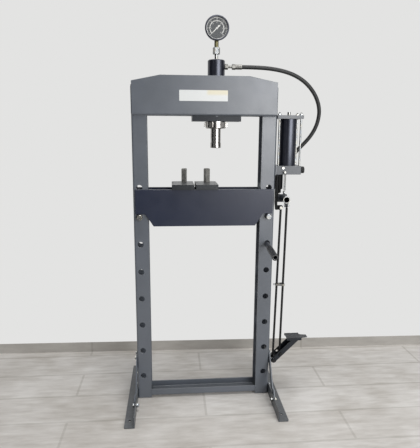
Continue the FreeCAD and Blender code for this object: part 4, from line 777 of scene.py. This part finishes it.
# bolts of the feet and braces
footBolt = {"head": 0.0064, "nut": 0.008, "flats": 0.016, "diameter": 0.010, "tail": 0.003, "pitch": 0.0015,
            "washer": 0.0016, "washerRadius": 0.0098}
footBoltPlaces = [  # start under the head, and grip, on the right-hand side
    ((0.313, -0.024, 0.036), 0.011), ((0.313, 0.024, 0.036), 0.011), ((0.313, -0.024, 0.200), 0.011),
    ((0.313, 0.024, 0.200), 0.011), ((0.318, -0.140, 0.028), 0.010), ((0.318, 0.140, 0.028), 0.010)]


def makeFootBolts():
    for side, name, node in ((1, "footBoltsRight", "bolts_right"), (-1, "footBoltsLeft", "bolts_left")):
        surfaces = []
        for (x, y, z), grip in footBoltPlaces:
            surfaces += screwSet((side * x, y, z), (-side, 0.0, 0.0), grip, footBolt)
        makePiece(name, surfaces, "zinc", "frame", (node,))


makeFootBolts()
print("bolts made")


# tie rods of the pump
tieRod = {"diameter": 0.008, "flats": 0.013, "nut": 0.0065, "tail": 0.005, "pitch": 0.00125, "steps": 40,
          "foot": 1.0705, "plate": 1.2995, "x": (0.320, 0.414), "y": (-0.032, 0.032)}


def makeTieRods():
    bar = barProfile(tieRod["diameter"] / 2, tieRod["plate"] - tieRod["foot"])
    surfaces = []
    for x in tieRod["x"]:
        for y in tieRod["y"]:
            surfaces.append(turnedSurface(bar, (x, y, tieRod["foot"]), upward, tieRod["steps"]))
            surfaces.append(hexagonBlock((x, y, tieRod["plate"]), upward, tieRod["flats"], tieRod["nut"]))
            surfaces.append(threadedEnd((x, y, tieRod["plate"] + tieRod["nut"]), upward, tieRod["diameter"],
                                        tieRod["tail"], tieRod["pitch"]))
    makePiece("tieRods", surfaces, "zinc", "frame", ("tie_rods",))


makeTieRods()
print("tie rods made")


# reservoir: a finer tube over the same sizes, with its rims rounded
reservoir = {"x": 0.368, "radius": 0.0355, "low": 1.0845, "high": 1.2845, "wall": 0.003, "rim": 0.0005,
             "round": 0.0004, "steps": 128}


def makeReservoir():
    outer, inner, rim = reservoir["radius"], reservoir["radius"] - reservoir["wall"], reservoir["rim"]
    height = reservoir["high"] - reservoir["low"]
    wall = rounded([(inner, rim), (inner, 0.0), (outer, 0.0), (outer, height), (inner, height),
                    (inner, height - rim)], reservoir["round"])
    rows = np.concatenate([wall, [(inner, height / 2), (inner, rim)]])
    tube = turnedSurface(rows, (reservoir["x"], 0.0, reservoir["low"]), upward, reservoir["steps"])
    makePiece("reservoirTube", [tube], "gloss_black", "frame", ("reservoir",), smooth=35.0)


makeReservoir()
print("reservoir made")


# ram with its screwed cap: ground, with a lead-in groove over the cap. Profiles are radius and height.
ram = {"x": 0.049, "radius": 0.02175, "cap": 0.024, "groove": 0.0008, "grooveLow": 0.0015,
       "grooveHigh": 0.0022, "topEdge": 0.001, "round": 0.0003, "capRound": 0.0005, "steps": 96,
       "capProfile": [(0.0, 0.0), (0.012, 0.0), (0.0125, 0.0006), (0.0215, 0.0006), (0.023, 0.0018),
                      (0.023, 0.0228), (0.022, 0.024), (0.0, 0.024)]}


def makeRam():
    low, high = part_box("ram_cap")[0][2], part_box("ram")[1][2]
    cap, radius, length, edge = ram["cap"], ram["radius"], high - low, ram["topEdge"]
    bar = [(0.0, cap), (radius - ram["groove"], cap), (radius - ram["groove"], cap + ram["grooveLow"]),
           (radius, cap + ram["grooveHigh"]), (radius, length - edge), (radius - edge, length), (0.0, length)]
    surfaces = [turnedSurface(rounded(profile, corner), (ram["x"], 0.0, low), upward, ram["steps"])
                for profile, corner in ((ram["capProfile"], ram["capRound"]), (bar, ram["round"]))]
    makePiece("ramAndCap", surfaces, "bright_steel", "ram_body", ("ram", "ram_cap"))


makeRam()
print("ram made")


# pressure gauge: rolled bezel and printed dial. Angles are in degrees from the dial's right-hand side.
gauge = {"x": 0.049, "z": 1.646, "dialFront": -0.0135, "print": 0.00012, "start": 225.0, "sweep": 270.0}
bezel = {"front": -0.026, "back": -0.017, "outer": 0.050, "window": 0.044, "seat": 0.0471, "lip": 0.0014,
         "mouth": (0.0004, 0.0008), "roll": 0.0028, "foot": (0.0012, 0.0006), "round": 0.0016,
         "roundSteps": 6, "steps": 128}
dial = {"outerRing": (0.0405, 0.0424), "outerSteps": 145, "scaleRing": (0.0277, 0.0298), "scaleSteps": 109,
        "ticks": 60, "longEvery": 10, "tickFoot": 0.0290, "longTick": (0.0332, 1.3),
        "shortTick": (0.0318, 0.5), "tickSteps": 3, "numbers": 6, "outlineSteps": 4,
        "rings": [{"step": 5, "radius": 0.0368, "size": 0.0066},
                  {"step": 50, "radius": 0.0232, "size": 0.0044}]}


def makeBezel():
    # Section of a rolled steel ring, turned round the gauge's own axis; distances run towards the front.
    outer, window, seat, roll = bezel["outer"], bezel["window"], bezel["seat"], bezel["roll"]
    depth = bezel["back"] - bezel["front"]
    lip = depth - bezel["lip"]
    mouthRise, mouthIn = bezel["mouth"]
    footRise, footIn = bezel["foot"]
    section = [(window, lip), (window, depth - mouthRise), (window + mouthIn, depth), (outer - roll, depth),
               (outer, depth - roll), (outer, footRise), (outer - footIn, 0.0), (seat, 0.0), (seat, lip)]
    rows = np.concatenate([rounded(section, bezel["round"], bezel["roundSteps"]), [section[0]]])
    ring = turnedSurface(rows, (gauge["x"], bezel["back"], gauge["z"]), frontward, bezel["steps"])
    makePiece("gaugeBezel", [ring], "gloss_black", "carriage", ("gauge_bezel",), smooth=40.0)


def dialPoint(radius, degrees, lift=0.0):
    angle = np.radians(degrees)
    x, z = gauge["x"] + radius * np.cos(angle), gauge["z"] + radius * np.sin(angle)
    return np.stack([x, np.full_like(x, gauge["dialFront"] - lift), z], -1)


def arcBand(inner, outer, fromDegrees, toDegrees, steps):
    # A flat band of ink between two radii, with its rim down to the plate.
    angles = np.linspace(fromDegrees, toDegrees, steps)
    lift = gauge["print"]
    rows = [dialPoint(radius, angles, height) for radius, height in
            ((inner, 0.0), (inner, lift), (outer, lift), (outer, 0.0))]
    return np.stack(rows), gridFaces(len(rows), steps, closeColumns=False)


def numberSurface(text, radius, degrees, size):
    curve = bpy.data.curves.new("number", "FONT")
    curve.body = text
    curve.size = size
    curve.align_x, curve.align_y = "CENTER", "CENTER"
    curve.extrude = gauge["print"] / 2
    curve.resolution_u = dial["outlineSteps"]
    flat, corners = evaluatedMesh(curve)
    middle = dialPoint(radius, np.array(degrees), gauge["print"] / 2)
    return np.stack([middle[0] + flat[:, 0], middle[1] - flat[:, 2], middle[2] + flat[:, 1]], 1), corners


def makeDialPrint():
    start, sweep = gauge["start"], gauge["sweep"]
    bands = [arcBand(*dial["outerRing"], 0.0, 360.0, dial["outerSteps"]),
             arcBand(*dial["scaleRing"], start, start - sweep, dial["scaleSteps"])]
    for k in range(dial["ticks"] + 1):
        at = start - sweep * k / dial["ticks"]
        tip, half = dial["longTick" if k % dial["longEvery"] == 0 else "shortTick"]
        bands.append(arcBand(dial["tickFoot"], tip, at - half, at + half, dial["tickSteps"]))
    makePiece("dialRings", bands, "needle_white", "carriage")
    numbers = []
    for k in range(dial["numbers"] + 1):
        at = start - sweep * k / dial["numbers"]
        for ring in dial["rings"]:
            numbers.append(numberSurface(str(k * ring["step"]), ring["radius"], at, ring["size"]))
    makePiece("dialNumbers", numbers, "needle_white", "carriage")


makeBezel()
makeDialPrint()
print("gauge made")


# grip of the stored handle: moulded rubber sleeve with lengthwise flutes between plain collars, and raised
# rings across them. Its ends are given by how far they step in and how far along they do so.
grip = {"hole": (0.2808, 0.0, 0.7403), "turn": math.radians(-1.6), "rise": math.radians(3.039),
        "front": -0.240, "length": 0.132, "radius": 0.0135, "bore": 0.01058, "flutes": 18, "depth": 0.0012,
        "collar": 0.011, "fade": 0.004, "rings": 9, "ringEdge": 4, "sleeve": 0.002, "steps": 160,
        "rows": (0.01, 0.99, 60),  # from, to and how many, as shares of the fluted length
        "frontEnd": [(0.0020, 0.0), (0.0006, 0.0004), (0.0, 0.0020)],
        "backEnd": [(0.0, 0.0018), (0.0008, 0.0003), (0.0020, 0.0)]}


def handleLine():  # the stored handle's direction: +Y lifted about X, then turned about Z
    turn, rise = grip["turn"], grip["rise"]
    return np.array([-math.sin(turn) * math.cos(rise), math.cos(turn) * math.cos(rise), math.sin(rise)])


def makeGrip():
    along = handleLine()
    length, radius, collar = grip["length"], grip["radius"], grip["collar"]
    fluteLength = length - 2 * collar
    outside = [(radius - step, at) for step, at in grip["frontEnd"]] + [(radius, collar)]
    outside += [(radius, collar + share * fluteLength) for share in np.linspace(*grip["rows"])]
    outside += [(radius, length - collar)] + [(radius - step, length - at) for step, at in grip["backEnd"]]
    rows = np.array(outside + [(grip["bore"], length), (grip["bore"], 0.0), outside[0]])

    def fluted(angle, reach, at):
        # Flutes fade in and out over the collars, and stop at each raised ring.
        middle = np.clip(np.minimum(at - collar, length - collar - at) / grip["fade"], 0.0, 1.0)
        wave = np.cos((at - collar) / fluteLength * 2 * math.pi * grip["rings"])
        rings = np.clip(wave * grip["ringEdge"] - (grip["ringEdge"] - 1), 0.0, 1.0)
        inside = (reach > grip["bore"] + grip["sleeve"]) * middle
        return reach - inside * grip["depth"] * (0.5 - 0.5 * np.cos(grip["flutes"] * angle)) * (1 - rings)

    sleeve = turnedSurface(rows, np.array(grip["hole"]) + along * grip["front"], along, grip["steps"], fluted)
    makePiece("handleGrip", [sleeve], "grip_rubber", "frame", ("handle_grip",), smooth=50.0)


makeGrip()
print("grip made")


# weld beads: small ridges of overlapping scales, painted over. Lines are given by start, end, size and the
# side they face; those of the frame are repeated left and right, front and back.
bead = {"scale": 0.0026, "perScale": 5, "sides": 10, "swell": 0.13, "taper": 1.5, "thinnest": 0.25,
        "face": 0.0412}
frameBeads = [  # places are x, a share of the bead's face in y, and z
    {"from": (0.3048, 1.0, 1.297), "to": (0.3048, 1.0, 1.4135), "size": 0.0030, "sideways": True},
    {"from": (0.2462, 1.0, 1.2932), "to": (0.2975, 1.0, 1.2932), "size": 0.0024, "sideways": False},
    {"from": (0.2450, 0.966, 0.019), "to": (0.2450, 0.966, 0.0425), "size": 0.0020, "sideways": False},
]
pumpBeads = [((0.3088, -0.031, 1.0905), (0.3088, 0.031, 1.0905), 0.0020, (0, 0, 1)),
             ((0.3088, -0.031, 1.0410), (0.3088, 0.031, 1.0410), 0.0020, (0, 0, 1)),
             ((0.3196, -0.048, 1.0464), (0.3196, -0.019, 1.0464), 0.0018, (1, 0, 0))]
socketBead = {"centre": (0.345, -0.0508, 0.945), "radius": 0.0154, "size": 0.0017}


def beadLine(start, end, size, outward):
    # A thin tube along a line whose radius swells once for each scale and tapers off at both ends.
    start, end = np.array(start, float), np.array(end, float)
    length = np.linalg.norm(end - start)
    share = np.linspace(0.0, 1.0, int(length / bead["scale"]) * bead["perScale"])
    wave = 1.0 + bead["swell"] * np.abs(np.sin(math.pi * share * length / bead["scale"]))
    fromEnd = np.minimum(share, 1 - share) * length / (bead["taper"] * size)
    taper = np.clip(fromEnd, bead["thinnest"], 1.0) ** 0.5
    return sweptTube(start + (end - start) * share[:, None], size * wave * taper, bead["sides"], outward)


def beadRing(centre, direction, radius, size):
    _, first, second = axes(direction)
    angle = np.linspace(0.0, 2 * math.pi, int(2 * math.pi * radius / bead["scale"]) * bead["perScale"])
    out = around(angle, first, second)
    wave = 1.0 + bead["swell"] * np.abs(np.sin(angle * radius / bead["scale"] * math.pi))
    return sweptTube(np.array(centre, float) + out * radius, size * wave, bead["sides"], out)


def makeWelds():
    lines = []
    for side in (-1, 1):
        for face in (-bead["face"], bead["face"]):
            for line in frameBeads:
                start, end = [(side * x, face * share, z) for x, share, z in (line["from"], line["to"])]
                lines.append((start, end, line["size"], (side, 0, 0) if line["sideways"] else (0, face, 0)))
    makePiece("frameWelds", [beadLine(*line) for line in lines + pumpBeads], "frame_paint", "frame",
              smooth=60.0)
    ring = beadRing(socketBead["centre"], frontward, socketBead["radius"], socketBead["size"])
    makePiece("socketWeld", [ring], "frame_paint", "lever_body", smooth=60.0,
              finish=ownFinishes["fittings"])


makeWelds()
print("welds made")


# plain label on the head: pale vinyl, satin, with an empty straw-yellow field that fades in at its edges
label = {"left": -0.108, "right": 0.094, "low": 1.3525, "high": 1.3965, "front": -0.0503, "back": -0.04995,
         "corner": 0.002, "cornerSteps": 6, "white": "#cdcfce", "straw": "#cfc9b4",
         "fieldLeft": (0.002, 0.014), "fieldLow": (1.373, 1.383), "wear": (20.0,), "roughness": (0.28, 0.38),
         "relief": (6.0,), "depth": (0.06, 0.0003)}


def finishLabel():
    made, tree, where = startFinish("paleVinylLabel")
    split = addNode(tree, "SeparateXYZ", {0: where})
    right = mapRange(tree, split.outputs["X"], *label["fieldLeft"], 0.0, 1.0)
    above = mapRange(tree, split.outputs["Z"], *label["fieldLow"], 0.0, 1.0)
    both = combine(tree, "MULTIPLY", right, above)
    endFinish(tree, colour=mixColour(tree, both, linear(label["white"]), linear(label["straw"])),
              roughness=spread(tree, noise(tree, where, *label["wear"]), *label["roughness"]),
              normal=reliefNormal(tree, noise(tree, where, *label["relief"]), *label["depth"], None))
    return made


def makeLabel():
    # Outline: a rectangle with quarter-circle corners, as one closed row.
    x0, x1, z0, z1, r = label["left"], label["right"], label["low"], label["high"], label["corner"]
    quarter = np.linspace(0.0, math.pi / 2, label["cornerSteps"])
    middles = ((x1 - r, z1 - r), (x0 + r, z1 - r), (x0 + r, z0 + r), (x1 - r, z0 + r))
    outline = np.concatenate([
        np.stack([x + r * np.cos(quarter + k * math.pi / 2), z + r * np.sin(quarter + k * math.pi / 2)], 1)
        for k, (x, z) in enumerate(middles)])
    makePiece("headLabel", [flatPlate(outline, label["back"], label["front"])], "needle_white", "frame",
              finish=finishLabel())


makeLabel()
print("label made")


# gauge case: a deep drawn cup with a blow-out disc in its back and a post for the pointer, its square brass
# stem and the hexagon under it. Profiles are radius and distance towards the front.
gaugeCase = {"back": 0.008, "round": 0.003, "roundSteps": 5, "steps": 128,
             "post": {"radius": 0.0015, "foot": 0.0195, "tip": 0.0253, "steps": 24},
             "cup": [(0.0, 0.0012), (0.0080, 0.0012), (0.0086, 0.0020), (0.0096, 0.0020), (0.0102, 0.0004),
                     (0.0120, 0.0), (0.042, 0.0), (0.047, 0.005), (0.047, 0.026), (0.044, 0.026),
                     (0.044, 0.0205), (0.0, 0.0205)]}
gaugeStem = {"low": 1.573, "high": 1.6025, "radius": 0.0096, "flats": 0.0170, "round": 0.001, "steps": 64}
gaugeHexagon = {"low": 1.545, "flats": 0.026, "height": 0.028}


def makeGaugeCase():
    centre, post = (gauge["x"], gaugeCase["back"], gauge["z"]), gaugeCase["post"]
    cup = rounded(gaugeCase["cup"], gaugeCase["round"], gaugeCase["roundSteps"])
    foot, tip, radius = post["foot"], post["tip"], post["radius"]
    pin = [(0.0, foot), (radius, foot), (radius, tip), (0.0, tip)]
    surfaces = [turnedSurface(cup, centre, frontward, gaugeCase["steps"]),
                turnedSurface(pin, centre, frontward, post["steps"])]
    makePiece("gaugeCup", surfaces, "gloss_black", "carriage", ("gauge_case",), smooth=35.0)
    stem = rounded(barProfile(gaugeStem["radius"], gaugeStem["high"] - gaugeStem["low"]), gaugeStem["round"])
    surface = turnedSurface(stem, (gauge["x"], 0.0, gaugeStem["low"]), upward, gaugeStem["steps"],
                            flatEdge(gaugeStem["flats"], 4))
    makePiece("gaugeStem", [surface], "zinc", "carriage", finish=ownFinishes["brass"])
    hexagon = hexagonBlock((gauge["x"], 0.0, gaugeHexagon["low"]), upward, gaugeHexagon["flats"],
                           gaugeHexagon["height"])
    makePiece("gaugeHexagon", [hexagon], "zinc", "carriage", ("gauge_coupling",))


makeGaugeCase()
print("gauge case made")


# pointer: a pressed lance with a raised spine, a round counterweight and a domed boss
pointer = {"back": -0.0151, "front": -0.0159, "angle": math.radians(225.0), "rows": 52,
           "along": [-0.0165, -0.0158, -0.0130, -0.0095, -0.0070, -0.0050, 0.0030, 0.0060, 0.0330, 0.0340],
           "half": [0.0008, 0.0020, 0.0033, 0.0033, 0.0020, 0.0013, 0.0018, 0.0017, 0.0006, 0.0002],
           "side": [-1.0, 1.0, 1.0, 0.0, -1.0], "height": [0.0, 0.0, 0.45, 1.0, 0.45],
           "boss": [(0.0, 0.0), (0.0044, 0.0), (0.0044, 0.0007), (0.00352, 0.0012), (0.00176, 0.0014),
                    (0.0, 0.0015)], "bossSteps": 40}


def makePointer():
    # Rows along the pointer, each with five corners: two at the back, two part of the way up and one on
    # the spine.
    along = np.linspace(pointer["along"][0], pointer["along"][-1], pointer["rows"])
    half = np.interp(along, pointer["along"], pointer["half"])
    depth = np.array(pointer["height"]) * (pointer["front"] - pointer["back"]) + pointer["back"]
    across = half[:, None] * np.array(pointer["side"])[None, :]
    ca, sa = math.cos(pointer["angle"]), math.sin(pointer["angle"])
    run = np.repeat(along[:, None], len(depth), axis=1)
    rows = np.stack([gauge["x"] + ca * run - sa * across, np.broadcast_to(depth, run.shape),
                     gauge["z"] + sa * run + ca * across], -1)
    disc = turnedSurface(pointer["boss"], (gauge["x"], pointer["back"], gauge["z"]), frontward,
                         pointer["bossSteps"])
    makePiece("gaugePointer", [cappedTube(rows), disc], "needle_white", "needle_body", ("gauge_needle",),
              smooth=25.0)


makePointer()
print("pointer made")


# bare bright end of the lever socket, where the handle rubs it, and the cut end of the stored handle.
# Profiles are radius and distance along.
socketMouth = {"centre": (0.345, -0.1080, 0.945), "steps": 64,
               "profile": [(0.0120, -0.006), (0.0119, 0.00032), (0.0126, 0.0008), (0.0142, 0.0008),
                           (0.0148, 0.00024), (0.0148, -0.0002), (0.0123, -0.006), (0.0120, -0.006)]}
handleMouth = {"back": 0.0030, "steps": 48,
               "profile": [(0.0086, 0.010), (0.0086, 0.0), (0.0089, -0.0008), (0.01015, -0.0008),
                           (0.01045, 0.0), (0.01045, 0.0005), (0.0088, 0.010), (0.0086, 0.010)]}


def makeBareEnds():
    ring = turnedSurface(socketMouth["profile"], socketMouth["centre"], frontward, socketMouth["steps"])
    makePiece("socketMouth", [ring], "zinc", "lever_body")
    along = handleLine()
    front = np.array(grip["hole"]) + along * (grip["front"] + handleMouth["back"])
    ring = turnedSurface(handleMouth["profile"], front, along, handleMouth["steps"])
    makePiece("handleMouth", [ring], "zinc", "frame")


makeBareEnds()
print("bare ends made")


# ribs pressed up across the pedal tread, level with its toothed lips
ribs = {"left": 0.389, "length": 0.068, "count": 11, "front": -0.0470, "back": 0.0070, "top": 0.281,
        "radius": 0.0014, "rows": 14, "taper": 8, "thinnest": 0.35, "sides": 10}


def makeTreadRibs():
    share = np.linspace(0.0, 1.0, ribs["rows"])
    taper = np.clip(np.minimum(share, 1 - share) * ribs["taper"], ribs["thinnest"], 1.0)
    y = ribs["front"] + (ribs["back"] - ribs["front"]) * share
    bars = []
    for k in range(ribs["count"]):
        x = ribs["left"] + (k + 0.5) * ribs["length"] / ribs["count"]
        path = np.stack([np.full_like(y, x), y, np.full_like(y, ribs["top"])], 1)
        bars.append(sweptTube(path, ribs["radius"] * taper, ribs["sides"], upward))
    makePiece("treadRibs", bars, "frame_paint", "pedal_body", smooth=50.0, finish=finishes["handle_steel"])


makeTreadRibs()
print("tread ribs made")


# centre mark of the sliding plate: the notch in its front edge filled with the frame's own paint
mark = {"x": 0.049, "half": 0.0052, "top": 1.2937, "drop": 0.0058, "front": -0.0463, "back": -0.0441}


def makeCentreMark():
    outline = np.array([(mark["x"] - mark["half"], mark["top"]), (mark["x"] + mark["half"], mark["top"]),
                        (mark["x"], mark["top"] - mark["drop"])])
    makePiece("centreMark", [flatPlate(outline, mark["back"], mark["front"])], "frame_paint", "carriage")


makeCentreMark()
print("centre mark made")
